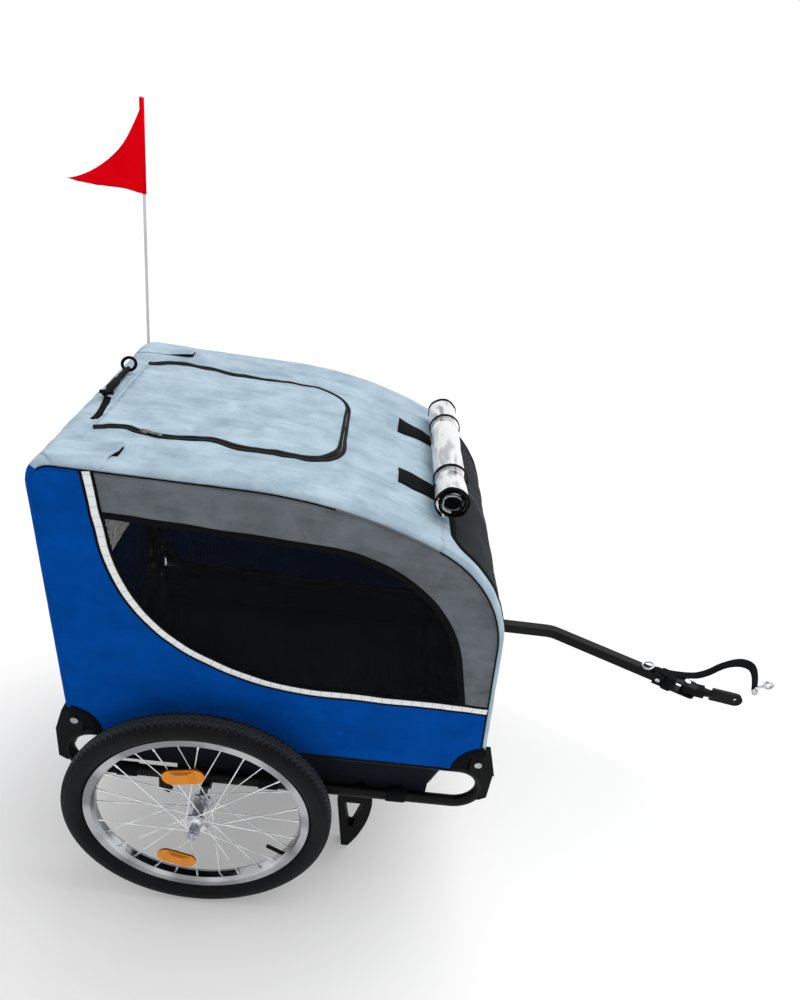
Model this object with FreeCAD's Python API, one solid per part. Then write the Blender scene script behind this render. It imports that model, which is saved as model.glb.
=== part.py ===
import FreeCAD, Part
import math
import os

# Dog bike trailer. Millimetres, +Z up, +X towards the tow bar, +Y to the left.
# The axle stands at x = 0 while modelling; the whole trailer is centred on export.

V = FreeCAD.Vector

# Wheels
WHEEL_R = 250.0
TYRE_W = 46.0
TRACK_Y = 318.0
TYRE_H = 41.5
RIM_WELL = 9.5
RIM_FLOOR = 9.0
RIM_W = 26.0
RIM_WALL = 2.0
SPOKE_COUNT = 28
SPOKE_R = 1.1
SPOKE_CROSS_DEG = 51.43
SPOKE_GAP = 0.1
FLANGE_R = 23.5
FLANGE_T = 3.0
FLANGE_Y = 22.0
SPOKE_HOLE_R = 21.0
SPOKE_SIDE = 3.2
SPOKE_RIM_OUT = 4.0
SPOKE_RIM_IN = 2.0
HUB_BARREL_R = 14.0
HUB_END_R = 11.5
HUB_IN = 50.0
HUB_OUT = 46.0
REFLECTOR_L = 76.0
REFLECTOR_H = 36.0
REFLECTOR_T = 3.5
FACET_L = (46.0, 22.0)
FACET_H = (30.0, 22.0)
FACET_T = 4.5
REFLECTOR_R = 122.0
REFLECTOR_DEGS = (101.0, 252.5)

# Quick-release axles
AXLE_R = 6.0
RUN_GAP = 0.05
AXLE_SOCKET = 58.0
AXLE_HEAD_R = 9.5
AXLE_HEAD_T = 4.0
HEAD_GAP = 0.4
HUB_GAP = 1.0
BUTTON_R = 4.0
BUTTON_TRAVEL = 4.0
BUTTON_L = 13.0
BUTTON_ROOM = 5.0

# Side loops and cross tubes
TUBE_R = 11.0
RAIL_Y = 252.0
RAIL_OVER_AXLE = 22.0
RAIL_BEND_R = 50.0
LOOP_SETBACK = 41.0
CROSS_R = 9.5
STAND_X = 300.0
STAY_X = -78.0
STAY_W = 27.0
STAY_H = 57.0
STAY_T = 5.0

# Cabin cover, outer surface, seen from the side
COVER_Y = 270.0
COVER_T = 3.0
SEAT_GAP = 0.3
ROOF_OVER_RAIL = 572.0
ROOF_R = 750.0
BROW_DEG = 24.4
NOSE_R = 235.0
NOSE_DEG = 85.0
FRONT_X = 521.0
REAR_X = -249.3
REAR_LEAN_DEG = 2.74
REAR_CORNER_R = 45.0
COVER_OVER_RAIL = 12.0
SIDE_OVER_RAIL = 13.0
CORNER_CUT_R = 60.0
CORNER_OVER_RAIL = 68.0
FRONT_CORNER_Y = 232.0
REAR_CORNER_Y = 216.0

# White piping between the blue and the grey cloth of each side
PIPE_OVER_RAIL = 168.0
PIPE_X = 200.0
PIPE_R1 = 445.0
PIPE_DEG1 = 29.3
PIPE_R2 = 287.0
PIPE_DEG2 = 82.3
PIPE_W = 12.0
PIPE_T = 1.5
BINDING = 10.0

# Windows
WINDOW_OVER_RAIL = 473.0
WINDOW_X = 182.0
WINDOW_TILT_DEG = 2.4
WINDOW_R = 264.0
WINDOW_DEG = 76.4
FRONT_WINDOW_Y = 195.0
FRONT_WINDOW_OVER_RAIL = 148.0
FRONT_WINDOW_H = 318.0
REAR_WINDOW_Y = 165.0
REAR_WINDOW_OVER_RAIL = 198.0
REAR_WINDOW_H = 280.0
WINDOW_CORNER_R = 40.0

# Roof hatch, flaps and rolled rain cover
HATCH_SETBACK = 16.0
HATCH_L = 395.0
HATCH_Y = 150.0
HATCH_R = 70.0
HATCH_GAP = 0.6
FLAP_SETBACK = 2.0
FLAP_L = 86.0
FLAP_Y = (190.0, 264.0)
FLAP_T = 1.5
ROLL_Y = (-175.0, 200.0)
ROLL_R = 32.5
ROLL_PITCH = 7.0
ROLL_T = 2.0
ROLL_TURNS = 3
ROLL_STRAP_YS = (-95.0, 115.0)
ROLL_STRAP_W = 22.0
ROLL_BAND_W = 7.0
ROLL_STRAP_T = 1.5
TAB_DEG = 17.4

# Hoops and corner brackets
HOOP_R = 9.5
KNUCKLE_STEP = 0.4
BROW_R = 8.0
BROW_BAR_DEG = 32.0
HINGE_OVER_RAIL = 33.0
RAIL_OVERHANG = 10.0
NEST_GAP = 2.0
REAR_BEND_R = 60.0
EAR_T = 4.0
FORK_GAP = 0.3
WEB_GAP = 1.5
BRACKET_OVER_HINGE = 19.0
BRACKET_UNDER_MIDDLE = 28.0
BRACKET_SKIN = 4.0
BRACKET_IN = 14.0
EAR_LIFT = 4.0
BOLT_R = 4.0
BOLT_HEAD_R = 7.0
BOLT_HEAD_T = 4.0

# Floor tub
TUB_INSET = (45.0, 83.0)
TUB_TOP_INSET = (34.0, 27.0)
TUB_OVER_RAIL = 16.0
TUB_T = 4.0
LEDGE_INSET = (65.0, 56.0)
LEDGE_T = 3.0
BOARD_T = 10.0
BOARD_MARGIN = 6.0
BAND_XS = (-150.0, 120.0, 370.0)
BAND_W = 38.0
BAND_T = 2.0

# Support feet
FOOT_Y = 172.0
FOOT_T = 24.0
FOOT_EYE_R = 15.0
FOOT_MID = 123.0
FOOT_REAR = 38.0
FOOT_FRONT = 37.0
FOOT_TOE_REAR = 15.0
FOOT_BULGE = 29.0
FOOT_WINDOW_R = 5.0

# Tow bar and hitch
BAR_W = 25.0
BAR_CORNER = 3.0
BAR_GAP = 1.0
BAR_OVER_RAIL = 28.0
BAR_TAIL = 18.0
BAR_STRAIGHT = 525.0
BAR_BEND_R = 70.0
BAR_DEG = 27.0
BAR_FRONT_L = 315.0
CLAMP_FROM_STAND = 32.0
CLAMP_FROM_BEND = 25.0
CLAMP_L = 24.0
CLAMP_T = 4.0
YOKE_BACK = 45.0
YOKE_PIVOT = 32.0
YOKE_REACH = 26.0
YOKE_T = 5.0
YOKE_W = 26.0
YOKE_WEB = 6.0
YOKE_GAP = 0.3
BLOCK_DEG = 11.0
BLOCK_W = 21.0
BLOCK_L = 45.0
SHANK_R = 7.0
SHANK_IN = 16.0
BOOT_R = 11.0
BOOT_L = 19.0
PLATE_T = 8.0
PLATE_H = 34.0
AXLE_HOLE_L = 120.0
AXLE_HOLE_R = 5.25
PIN_R = 4.0
PIN_HEAD_R = 7.0
PIN_HEAD_T = 4.0
PIN_TAIL = 7.0
BAIL_R = 1.25
BAIL_Y = 21.0

# Webbing safety strap and its snap hook
STRAP_W = 22.0
STRAP_T = 2.0
STRAP_BACK = 28.0
STRAP_DEG = 6.2
STRAP_POINTS = (
    (0.0, 0.0),
    (62.0, 0.0),
    (98.0, 30.0),
    (124.0, 68.0),
    (168.0, 78.0),
    (204.0, 44.0),
    (226.0, 2.0),
)
HOOK_R = 9.0
HOOK_WIRE_R = 2.6

# Flag
POLE_R = 3.0
POLE_SETBACK = 14.5
POLE_SEAT = 6.0
POLE_L = 1056.0
SOCKET_R = 6.0
SOCKET_UNDER_RAIL = 42.0
SOCKET_L = 82.0
POLE_TIP = 2.0
FLAG_H = 162.0
FLAG_L = 140.0
FLAG_TIP_RISE = 8.0
FLAG_T = 1.6
FLAG_WAVE = 11.0
FLAG_SLEEVE_T = 1.6
POLE_CLEAR = 3.0

# Lead lying on the rear edge of the roof
LEAD_W = 12.0
LEAD_T = 2.0
LEAD_START = (7.0, -112.0)
LEAD_END = (-2.0, -34.0)
LEAD_RING_R = 10.0
LEAD_WIRE_R = 2.4
LEAD_SNAP_Y = 108.0
LEAD_SNAP_R = 14.0
LEAD_BODY_R = 6.0

# Sizes that follow from the ones above
AXLE_Z = WHEEL_R
RIM_R = WHEEL_R - TYRE_H
RIM_SEAT_R = RIM_R - RIM_WELL
RIM_INNER_R = RIM_SEAT_R - RIM_FLOOR
LOOP_FRONT_X = FRONT_X - LOOP_SETBACK
LOOP_REAR_X = REAR_X + LOOP_SETBACK
RAIL_LOW_Z = AXLE_Z + RAIL_OVER_AXLE
RAIL_HIGH_Z = RAIL_LOW_Z + 2 * RAIL_BEND_R
RAIL_MID_Z = RAIL_LOW_Z + RAIL_BEND_R
ROOF_Z = RAIL_HIGH_Z + ROOF_OVER_RAIL
PIPE_Z = RAIL_HIGH_Z + PIPE_OVER_RAIL
WINDOW_Z = RAIL_HIGH_Z + WINDOW_OVER_RAIL
FRONT_WINDOW_Z = RAIL_HIGH_Z + FRONT_WINDOW_OVER_RAIL
REAR_WINDOW_Z = RAIL_HIGH_Z + REAR_WINDOW_OVER_RAIL
COVER_LOW_Z = RAIL_HIGH_Z + COVER_OVER_RAIL
SIDE_LOW_Z = RAIL_HIGH_Z + SIDE_OVER_RAIL
CORNER_Z = RAIL_HIGH_Z + CORNER_OVER_RAIL
HINGE_Z = RAIL_HIGH_Z + HINGE_OVER_RAIL
BRACKET_TOP_Z = HINGE_Z + BRACKET_OVER_HINGE
BRACKET_LOW_Z = RAIL_MID_Z - BRACKET_UNDER_MIDDLE
TUB_LOW_Z = RAIL_LOW_Z + TUB_OVER_RAIL
BAR_Z = RAIL_LOW_Z + BAR_OVER_RAIL
SOCKET_Z = (RAIL_HIGH_Z - SOCKET_UNDER_RAIL, RAIL_HIGH_Z - SOCKET_UNDER_RAIL + SOCKET_L)
POLE_LOW_Z = SOCKET_Z[0] + POLE_SEAT
POLE_TOP_Z = POLE_LOW_Z + POLE_L
FLAG_TOP_Z = POLE_TOP_Z - POLE_TIP
FLAG_LOW_Z = FLAG_TOP_Z - FLAG_H
COVER_IN_Y = COVER_Y - COVER_T
HOOP_INSET = COVER_T + SEAT_GAP + HOOP_R
HOOP_Y = COVER_Y - HOOP_INSET
REAR_HOOP_Y = HOOP_Y - 2 * HOOP_R - NEST_GAP
TUB_Y = RAIL_Y - TUBE_R - SEAT_GAP
TUB_TOP_Z = RAIL_HIGH_Z + TUBE_R + SEAT_GAP
BAR_Y = RAIL_Y + TUBE_R + BAR_GAP + BAR_W / 2
POLE_Y = COVER_Y + PIPE_T + POLE_CLEAR + POLE_R
LEAN = math.radians(REAR_LEAN_DEG)
NOSE_LEAN = math.radians(90.0 - NOSE_DEG)


def on_arc(centre, radius, degrees):
    # Point of an arc, the angle measured from straight up towards +X
    angle = math.radians(degrees)
    return (centre[0] + radius * math.sin(angle), centre[1] + radius * math.cos(angle))


BROW_X, BROW_Z = on_arc((0.0, ROOF_Z - ROOF_R), ROOF_R - NOSE_R, BROW_DEG)
NOSE_X, NOSE_Z = on_arc((BROW_X, BROW_Z), NOSE_R, NOSE_DEG)
ROOF_FLAT_X = FRONT_X - NOSE_X - (NOSE_Z - HINGE_Z) * math.tan(NOSE_LEAN)
ROOF_C = (ROOF_FLAT_X, ROOF_Z - ROOF_R)
NOSE_C = on_arc(ROOF_C, ROOF_R - NOSE_R, BROW_DEG)
REAR_CZ = ROOF_Z - REAR_CORNER_R
REAR_C = (REAR_X + (REAR_CORNER_R - (REAR_CZ - HINGE_Z) * math.sin(LEAN)) / math.cos(LEAN), REAR_CZ)


def cover_front_x(z, inset):
    # X of the straight front of the cover at height z, moved in by inset
    foot = on_arc(NOSE_C, NOSE_R - inset, NOSE_DEG)
    return foot[0] + (foot[1] - z) * math.tan(NOSE_LEAN)


def cover_rear_point(inset):
    # Where the rear wall meets the rounded rear edge of the roof
    return on_arc(REAR_C, REAR_CORNER_R - inset, -90.0 - REAR_LEAN_DEG)


def cover_rear_x(z, inset):
    top = cover_rear_point(inset)
    return top[0] + (top[1] - z) * math.tan(LEAN)


HINGE_FRONT_X = cover_front_x(HINGE_Z, HOOP_INSET)
HINGE_REAR_X = cover_rear_x(HINGE_Z, HOOP_INSET)
POLE_X = HINGE_REAR_X - POLE_SETBACK
RAIL_END_X = REAR_C[0] - RAIL_OVERHANG
HATCH_REAR_X = REAR_C[0] + HATCH_SETBACK
HATCH_FRONT_X = HATCH_REAR_X + HATCH_L
FLAP_X = (REAR_C[0] + FLAP_SETBACK, REAR_C[0] + FLAP_SETBACK + FLAP_L)
TUB_X = (REAR_X + TUB_INSET[0], FRONT_X - TUB_INSET[1])
TUB_TOP_X = (REAR_X + TUB_TOP_INSET[0], FRONT_X - TUB_TOP_INSET[1])
LEDGE_X = (REAR_X + LEDGE_INSET[0], FRONT_X - LEDGE_INSET[1])
CLAMP_XS = (STAND_X - CLAMP_FROM_STAND, LOOP_FRONT_X - CLAMP_FROM_BEND)
BAR_REAR_X = CLAMP_XS[0] - BAR_TAIL
BAR_BEND_X = BAR_REAR_X + BAR_STRAIGHT
BAR_END = (
    BAR_BEND_X + BAR_FRONT_L * math.cos(math.radians(BAR_DEG)),
    BAR_Y - BAR_FRONT_L * math.sin(math.radians(BAR_DEG)),
)
HITCH_PIVOT = (
    BAR_END[0] + YOKE_PIVOT * math.cos(math.radians(BAR_DEG)),
    BAR_END[1] - YOKE_PIVOT * math.sin(math.radians(BAR_DEG)),
)


def edges_of(points):
    # Lines and arcs through a list: a vector is a line's end, a pair is an arc's middle and end
    edges = []
    here = points[0]
    for step in points[1:]:
        if isinstance(step, tuple):
            edges.append(Part.Arc(here, step[0], step[1]).toShape())
            here = step[1]
        elif here.distanceToPoint(step) > 1e-6:
            edges.append(Part.LineSegment(here, step).toShape())
            here = step
    return edges


def xz_slab(steps, y_low, y_high):
    # Plate cut to an outline seen from the side; four numbers are an arc's middle and end
    points = []
    for step in steps:
        if len(step) == 4:
            points.append((V(step[0], y_low, step[1]), V(step[2], y_low, step[3])))
        else:
            points.append(V(step[0], y_low, step[1]))
    points.append(points[0])
    face = Part.Face(Part.Wire(edges_of(points)))
    return face.extrude(V(0, y_high - y_low, 0))


def turned(steps):
    # Ring turned about the Y axis from points of (radius, y)
    points = []
    for step in steps:
        if len(step) == 4:
            points.append((V(step[0], step[1], 0), V(step[2], step[3], 0)))
        else:
            points.append(V(step[0], step[1], 0))
    points.append(points[0])
    face = Part.Face(Part.Wire(edges_of(points)))
    return face.revolve(V(0, 0, 0), V(0, 1, 0), 360)


def rod(radius, start, end):
    return Part.makeCylinder(radius, (end - start).Length, start, end - start)


def flat_ring(centre, axis, inner, outer, thickness):
    start = centre - axis * (thickness / 2)
    end = centre + axis * (thickness / 2)
    return rod(outer, start, end).cut(rod(inner, start, end))


def block(x_range, y_range, z_range):
    size = (x_range[1] - x_range[0], y_range[1] - y_range[0], z_range[1] - z_range[0])
    return Part.makeBox(size[0], size[1], size[2], V(x_range[0], y_range[0], z_range[0]))


def swept(edges, section):
    return Part.Wire(edges).makePipeShell([section], True, False)


def circle_wire(radius, centre, normal):
    return Part.Wire([Part.makeCircle(radius, centre, normal)])


def rounded_prism(half_width, low, high, radius):
    # Rounded rectangle in the YZ plane, run along X through the whole cabin
    y0 = -half_width
    y1 = half_width
    k = radius * (1 - math.sqrt(0.5))
    points = [
        V(0, y0 + radius, low),
        V(0, y1 - radius, low),
        (V(0, y1 - k, low + k), V(0, y1, low + radius)),
        V(0, y1, high - radius),
        (V(0, y1 - k, high - k), V(0, y1 - radius, high)),
        V(0, y0 + radius, high),
        (V(0, y0 + k, high - k), V(0, y0, high - radius)),
        V(0, y0, low + radius),
        (V(0, y0 + k, low + k), V(0, y0 + radius, low)),
    ]
    return Part.Face(Part.Wire(edges_of(points)))


def mirrored(shape):
    return shape.mirror(V(0, 0, 0), V(0, 1, 0))


def at_wheel(shape):
    return shape.translated(V(0, TRACK_Y, AXLE_Z))


# Wheels, built about their own centre with the outer side towards +Y

def tyre():
    half = TYRE_W / 2
    inside = RIM_W / 2 - RIM_WALL
    lip = RIM_R + SEAT_GAP
    shoulder_r = WHEEL_R - 10.0
    shoulder_y = half - 4.0
    wide_r = (lip + WHEEL_R) / 2 - 3.0
    return turned([
        (RIM_SEAT_R, -inside),
        (RIM_SEAT_R, inside),
        (lip, inside),
        (wide_r, half, shoulder_r, shoulder_y),
        (WHEEL_R, 0.0, shoulder_r, -shoulder_y),
        (wide_r, -half, lip, -inside),
    ])


def rim():
    half = RIM_W / 2
    inside = half - RIM_WALL
    waist = (RIM_SEAT_R + RIM_INNER_R) / 2
    return turned([
        (RIM_R, half),
        (RIM_R, inside),
        (RIM_SEAT_R, inside),
        (RIM_SEAT_R, -inside),
        (RIM_R, -inside),
        (RIM_R, -half),
        (waist, -half),
        (RIM_INNER_R, -half / 2),
        (RIM_INNER_R, half / 2),
        (waist, half),
    ])


def hub():
    low = FLANGE_Y - FLANGE_T / 2
    high = FLANGE_Y + FLANGE_T / 2
    bore = AXLE_R + RUN_GAP
    neck = high + 5.0
    return turned([
        (bore, -HUB_IN),
        (HUB_END_R, -HUB_IN),
        (HUB_END_R, -neck),
        (HUB_BARREL_R, -high),
        (FLANGE_R, -high),
        (FLANGE_R, -low),
        (HUB_BARREL_R, -low),
        (HUB_BARREL_R, low),
        (FLANGE_R, low),
        (FLANGE_R, high),
        (HUB_BARREL_R, high),
        (HUB_END_R, neck),
        (HUB_END_R, HUB_OUT),
        (bore, HUB_OUT),
    ])


def spokes():
    # Half the spokes lace each flange, every second one the other way round
    per_flange = SPOKE_COUNT // 2
    step = 360.0 / per_flange
    laced = []
    for side in (1, -1):
        for k in range(per_flange):
            way = 1 if k % 2 == 0 else -1
            start_deg = k * step + (step / 2 if side < 0 else 0.0)
            end_deg = start_deg + way * SPOKE_CROSS_DEG
            near = on_arc((0, 0), SPOKE_HOLE_R, start_deg)
            far = on_arc((0, 0), RIM_INNER_R - SPOKE_GAP, end_deg)
            near_y = side * (FLANGE_Y + way * SPOKE_SIDE)
            far_y = side * (SPOKE_RIM_OUT if way > 0 else SPOKE_RIM_IN)
            laced.append(rod(SPOKE_R, V(near[0], near_y, near[1]), V(far[0], far_y, far[1])))
    return Part.makeCompound(laced)


def spoke_y(radius):
    # Outermost spoke surface at a given radius of the wheel
    share = (radius - SPOKE_HOLE_R) / (RIM_INNER_R - SPOKE_HOLE_R)
    outer = FLANGE_Y + SPOKE_SIDE
    return outer + (SPOKE_RIM_OUT - outer) * share + SPOKE_R


def reflectors():
    # Oval lenses with a raised, faceted middle, seated on the outer spokes
    seat = spoke_y(REFLECTOR_R - REFLECTOR_H * 0.4) + SEAT_GAP
    lenses = []
    for degrees in REFLECTOR_DEGS:
        end = REFLECTOR_L / 2 - REFLECTOR_H / 2
        half = REFLECTOR_H / 2
        lens = xz_slab(
            [(-end, -half), (end, -half), (end + half, 0, end, half),
             (-end, half), (-end - half, 0, -end, -half)],
            seat, seat + REFLECTOR_T,
        )
        face_y = seat + REFLECTOR_T
        rings = []
        for k, y in enumerate((face_y, face_y + FACET_T)):
            x = FACET_L[k] / 2
            z = FACET_H[k] / 2
            corners = [V(-x, y, -z), V(x, y, -z), V(x, y, z), V(-x, y, z), V(-x, y, -z)]
            rings.append(Part.makePolygon(corners))
        lens = lens.fuse(Part.makeLoft(rings, True, True))
        spot = on_arc((0, 0), REFLECTOR_R, 90.0 - degrees)
        lens.rotate(V(0, 0, 0), V(0, 1, 0), 90.0 - degrees)
        lenses.append(lens.translated(V(spot[0], 0, spot[1])))
    return Part.makeCompound(lenses)


def axle():
    head_y = HUB_OUT + HEAD_GAP
    inner_y = -(HUB_IN + HUB_GAP + AXLE_SOCKET - HEAD_GAP)
    pocket = BUTTON_R + RUN_GAP
    floor_y = head_y + AXLE_HEAD_T - (BUTTON_L - BUTTON_TRAVEL) - BUTTON_ROOM
    return turned([
        (0.0, inner_y),
        (AXLE_R, inner_y),
        (AXLE_R, head_y),
        (AXLE_HEAD_R, head_y),
        (AXLE_HEAD_R, head_y + AXLE_HEAD_T),
        (pocket, head_y + AXLE_HEAD_T),
        (pocket, floor_y),
        (0.0, floor_y),
    ])


def push_button():
    top = HUB_OUT + HEAD_GAP + AXLE_HEAD_T + BUTTON_TRAVEL
    return turned([
        (0.0, top - BUTTON_L),
        (BUTTON_R, top - BUTTON_L),
        (BUTTON_R, top - 1.0),
        (BUTTON_R - 1.0, top),
        (0.0, top),
    ])


# Chassis

def side_loop():
    bent = []
    for x, way in ((LOOP_FRONT_X, -1), (LOOP_REAR_X, 1)):
        start = Part.Face(circle_wire(TUBE_R, V(x, RAIL_Y, RAIL_LOW_Z), V(1, 0, 0)))
        bent.append(start.revolve(V(x, RAIL_Y, RAIL_MID_Z), V(0, way, 0), 180))
    low = rod(TUBE_R, V(LOOP_REAR_X, RAIL_Y, RAIL_LOW_Z), V(LOOP_FRONT_X, RAIL_Y, RAIL_LOW_Z))
    high = rod(TUBE_R, V(LOOP_REAR_X, RAIL_Y, RAIL_HIGH_Z), V(LOOP_FRONT_X, RAIL_Y, RAIL_HIGH_Z))
    return low.multiFuse([high] + bent).removeSplitter()


def side_loop_with_stay():
    half = STAY_W / 2
    foot_z = RAIL_LOW_Z - STAY_H
    stay = xz_slab(
        [(STAY_X - half, RAIL_LOW_Z), (STAY_X - half, foot_z + half), (STAY_X + 5, foot_z),
         (STAY_X + half, foot_z + half), (STAY_X + half, RAIL_LOW_Z)],
        RAIL_Y - STAY_T / 2, RAIL_Y + STAY_T / 2,
    )
    return side_loop().fuse(stay)


def axle_tube():
    end = TRACK_Y - HUB_IN - HUB_GAP
    tube = rod(TUBE_R, V(0, -end, AXLE_Z), V(0, end, AXLE_Z))
    for side in (1, -1):
        socket = rod(AXLE_R + RUN_GAP, V(0, side * end, AXLE_Z), V(0, side * (end - AXLE_SOCKET), AXLE_Z))
        tube = tube.cut(socket)
    return tube


def coped_tube(x, z):
    # Cross tube whose ends are coped to the two side loops
    tube = rod(CROSS_R, V(x, -RAIL_Y, z), V(x, RAIL_Y, z))
    loop = side_loop()
    return tube.cut(loop).cut(mirrored(loop))


def cross_tubes():
    front = coped_tube(LOOP_FRONT_X + RAIL_BEND_R, RAIL_MID_Z)
    rear = coped_tube(LOOP_REAR_X - RAIL_BEND_R, RAIL_MID_Z)
    return Part.makeCompound([front, rear])


def loop_inside():
    # Everything within the centre line of a side loop
    reach = 2 * COVER_Y
    middle = block((LOOP_REAR_X, LOOP_FRONT_X), (0, reach), (RAIL_LOW_Z, RAIL_HIGH_Z))
    front = rod(RAIL_BEND_R, V(LOOP_FRONT_X, 0, RAIL_MID_Z), V(LOOP_FRONT_X, reach, RAIL_MID_Z))
    rear = rod(RAIL_BEND_R, V(LOOP_REAR_X, 0, RAIL_MID_Z), V(LOOP_REAR_X, reach, RAIL_MID_Z))
    return middle.multiFuse([front, rear])


def corner_bracket(hinge_x, hinge_y, way, y_low, y_high, ear_z):
    # Pressed bracket round the end of a side loop, with a fork above it for the hoop's leg
    end_x = (LOOP_FRONT_X if way > 0 else LOOP_REAR_X) + way * (RAIL_BEND_R + TUBE_R + BRACKET_SKIN)
    in_x = hinge_x - way * BRACKET_IN
    web_x = hinge_x + way * (HOOP_R + WEB_GAP)
    low_x = end_x - way * (TUBE_R + BRACKET_SKIN)
    hug = xz_slab(
        [(low_x, BRACKET_LOW_Z), (end_x, BRACKET_LOW_Z + 10), (end_x, RAIL_HIGH_Z),
         (end_x, ear_z), (in_x, ear_z), (in_x, RAIL_MID_Z)],
        RAIL_Y - TUBE_R, RAIL_Y + TUBE_R,
    )
    fork = xz_slab(
        [(end_x, ear_z), (web_x + way * EAR_T * 3, BRACKET_TOP_Z), (in_x, BRACKET_TOP_Z), (in_x, ear_z)],
        y_low, y_high,
    )
    cross_x = end_x - way * (TUBE_R + BRACKET_SKIN)
    cross = rod(CROSS_R, V(cross_x, 0, RAIL_MID_Z), V(cross_x, RAIL_Y, RAIL_MID_Z))
    body = hug.fuse(fork).cut(loop_inside()).cut(side_loop()).cut(cross)
    slot_low = HINGE_Z - HOOP_R - FORK_GAP
    far_x = in_x - way * EAR_T
    slot = block(
        sorted((far_x, web_x)),
        (hinge_y - HOOP_R - FORK_GAP, hinge_y + HOOP_R + FORK_GAP),
        (slot_low, BRACKET_TOP_Z + EAR_T),
    )
    hole = rod(BOLT_R, V(hinge_x, y_low - EAR_T, HINGE_Z), V(hinge_x, y_high + EAR_T, HINGE_Z))
    return body.cut(slot).cut(hole)


def front_bracket():
    half = HOOP_R + FORK_GAP + EAR_T
    return corner_bracket(HINGE_FRONT_X, HOOP_Y, 1, HOOP_Y - half, HOOP_Y + half, RAIL_HIGH_Z + EAR_LIFT)


def rear_bracket():
    half = HOOP_R + FORK_GAP + EAR_T
    low = REAR_HOOP_Y - half
    return corner_bracket(HINGE_REAR_X, REAR_HOOP_Y, -1, low, RAIL_Y + TUBE_R, RAIL_HIGH_Z + EAR_LIFT)


def rear_bracket_with_socket():
    # The left rear bracket also carries the flag pole's socket
    base_y = RAIL_Y + TUBE_R
    wide = (POLE_X - SOCKET_R, POLE_X + SOCKET_R)
    lug = block(wide, (base_y - 1.0, POLE_Y), (RAIL_HIGH_Z + EAR_LIFT, SOCKET_Z[1]))
    barrel = rod(SOCKET_R, V(POLE_X, POLE_Y, SOCKET_Z[0]), V(POLE_X, POLE_Y, SOCKET_Z[1]))
    bore = rod(POLE_R + RUN_GAP, V(POLE_X, POLE_Y, POLE_LOW_Z), V(POLE_X, POLE_Y, SOCKET_Z[1] + 1))
    return rear_bracket().fuse(lug).fuse(barrel).cut(bore)


def hinge_bolt(x, y_low, y_high):
    shank = rod(BOLT_R, V(x, y_low, HINGE_Z), V(x, y_high, HINGE_Z))
    head = rod(BOLT_HEAD_R, V(x, y_high, HINGE_Z), V(x, y_high + BOLT_HEAD_T, HINGE_Z))
    nut = rod(BOLT_HEAD_R, V(x, y_low - BOLT_HEAD_T, HINGE_Z), V(x, y_low, HINGE_Z))
    return shank.multiFuse([head, nut])


def hinge_bolts():
    half = HOOP_R + FORK_GAP + EAR_T
    front = hinge_bolt(HINGE_FRONT_X, HOOP_Y - half, HOOP_Y + half)
    rear = hinge_bolt(HINGE_REAR_X, REAR_HOOP_Y - half, RAIL_Y + TUBE_R)
    return Part.makeCompound([front, mirrored(front), rear, mirrored(rear)])


def support_foot():
    # D-shaped moulded foot swinging on the stand tube, with a triangular window
    z0 = RAIL_LOW_Z
    mid_z = z0 - FOOT_MID
    eye = FOOT_EYE_R * 0.94
    blade = xz_slab(
        [(STAND_X - eye, z0 - 5), (STAND_X - FOOT_REAR, mid_z), (STAND_X - FOOT_TOE_REAR, 0), (STAND_X, 0),
         (STAND_X + FOOT_BULGE, mid_z / 2, STAND_X + FOOT_FRONT, mid_z), (STAND_X + eye, z0 - 5)],
        -FOOT_T / 2, FOOT_T / 2,
    )
    ring = rod(FOOT_EYE_R, V(STAND_X, -FOOT_T / 2, z0), V(STAND_X, FOOT_T / 2, z0))
    window = xz_slab(
        [(STAND_X - FOOT_REAR * 0.6, mid_z - 4), (STAND_X + FOOT_FRONT * 0.58, mid_z - 4),
         (STAND_X - 2, mid_z * 0.33)],
        -FOOT_T, FOOT_T,
    )
    window = window.makeFillet(FOOT_WINDOW_R, [e for e in window.Edges if e.BoundBox.YLength > FOOT_T])
    bore = rod(CROSS_R + RUN_GAP, V(STAND_X, -FOOT_T, z0), V(STAND_X, FOOT_T, z0))
    return blade.fuse(ring).cut(window).cut(bore).translated(V(0, FOOT_Y, 0))


def floor_tub():
    outer = xz_slab(
        [(TUB_X[0], TUB_LOW_Z), (TUB_X[1], TUB_LOW_Z), (TUB_TOP_X[1], TUB_TOP_Z), (TUB_TOP_X[0], TUB_TOP_Z)],
        -TUB_Y, TUB_Y,
    )
    inner = xz_slab(
        [(TUB_X[0] + TUB_T, TUB_LOW_Z + TUB_T), (TUB_X[1] - TUB_T, TUB_LOW_Z + TUB_T),
         (TUB_TOP_X[1] - TUB_T, TUB_TOP_Z + 1), (TUB_TOP_X[0] + TUB_T, TUB_TOP_Z + 1)],
        -TUB_Y + TUB_T, TUB_Y - TUB_T,
    )
    tub = outer.cut(inner)
    ledge = block(LEDGE_X, (TUB_Y - TUB_T, COVER_IN_Y), (TUB_TOP_Z, TUB_TOP_Z + LEDGE_T))
    return tub.multiFuse([ledge, mirrored(ledge)])


def floor_board():
    inside_y = TUB_Y - TUB_T - BOARD_MARGIN
    floor_z = TUB_LOW_Z + TUB_T
    return block(
        (TUB_X[0] + TUB_T + BOARD_MARGIN, TUB_X[1] - TUB_T - BOARD_MARGIN),
        (-inside_y, inside_y),
        (floor_z, floor_z + BOARD_T),
    )


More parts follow.
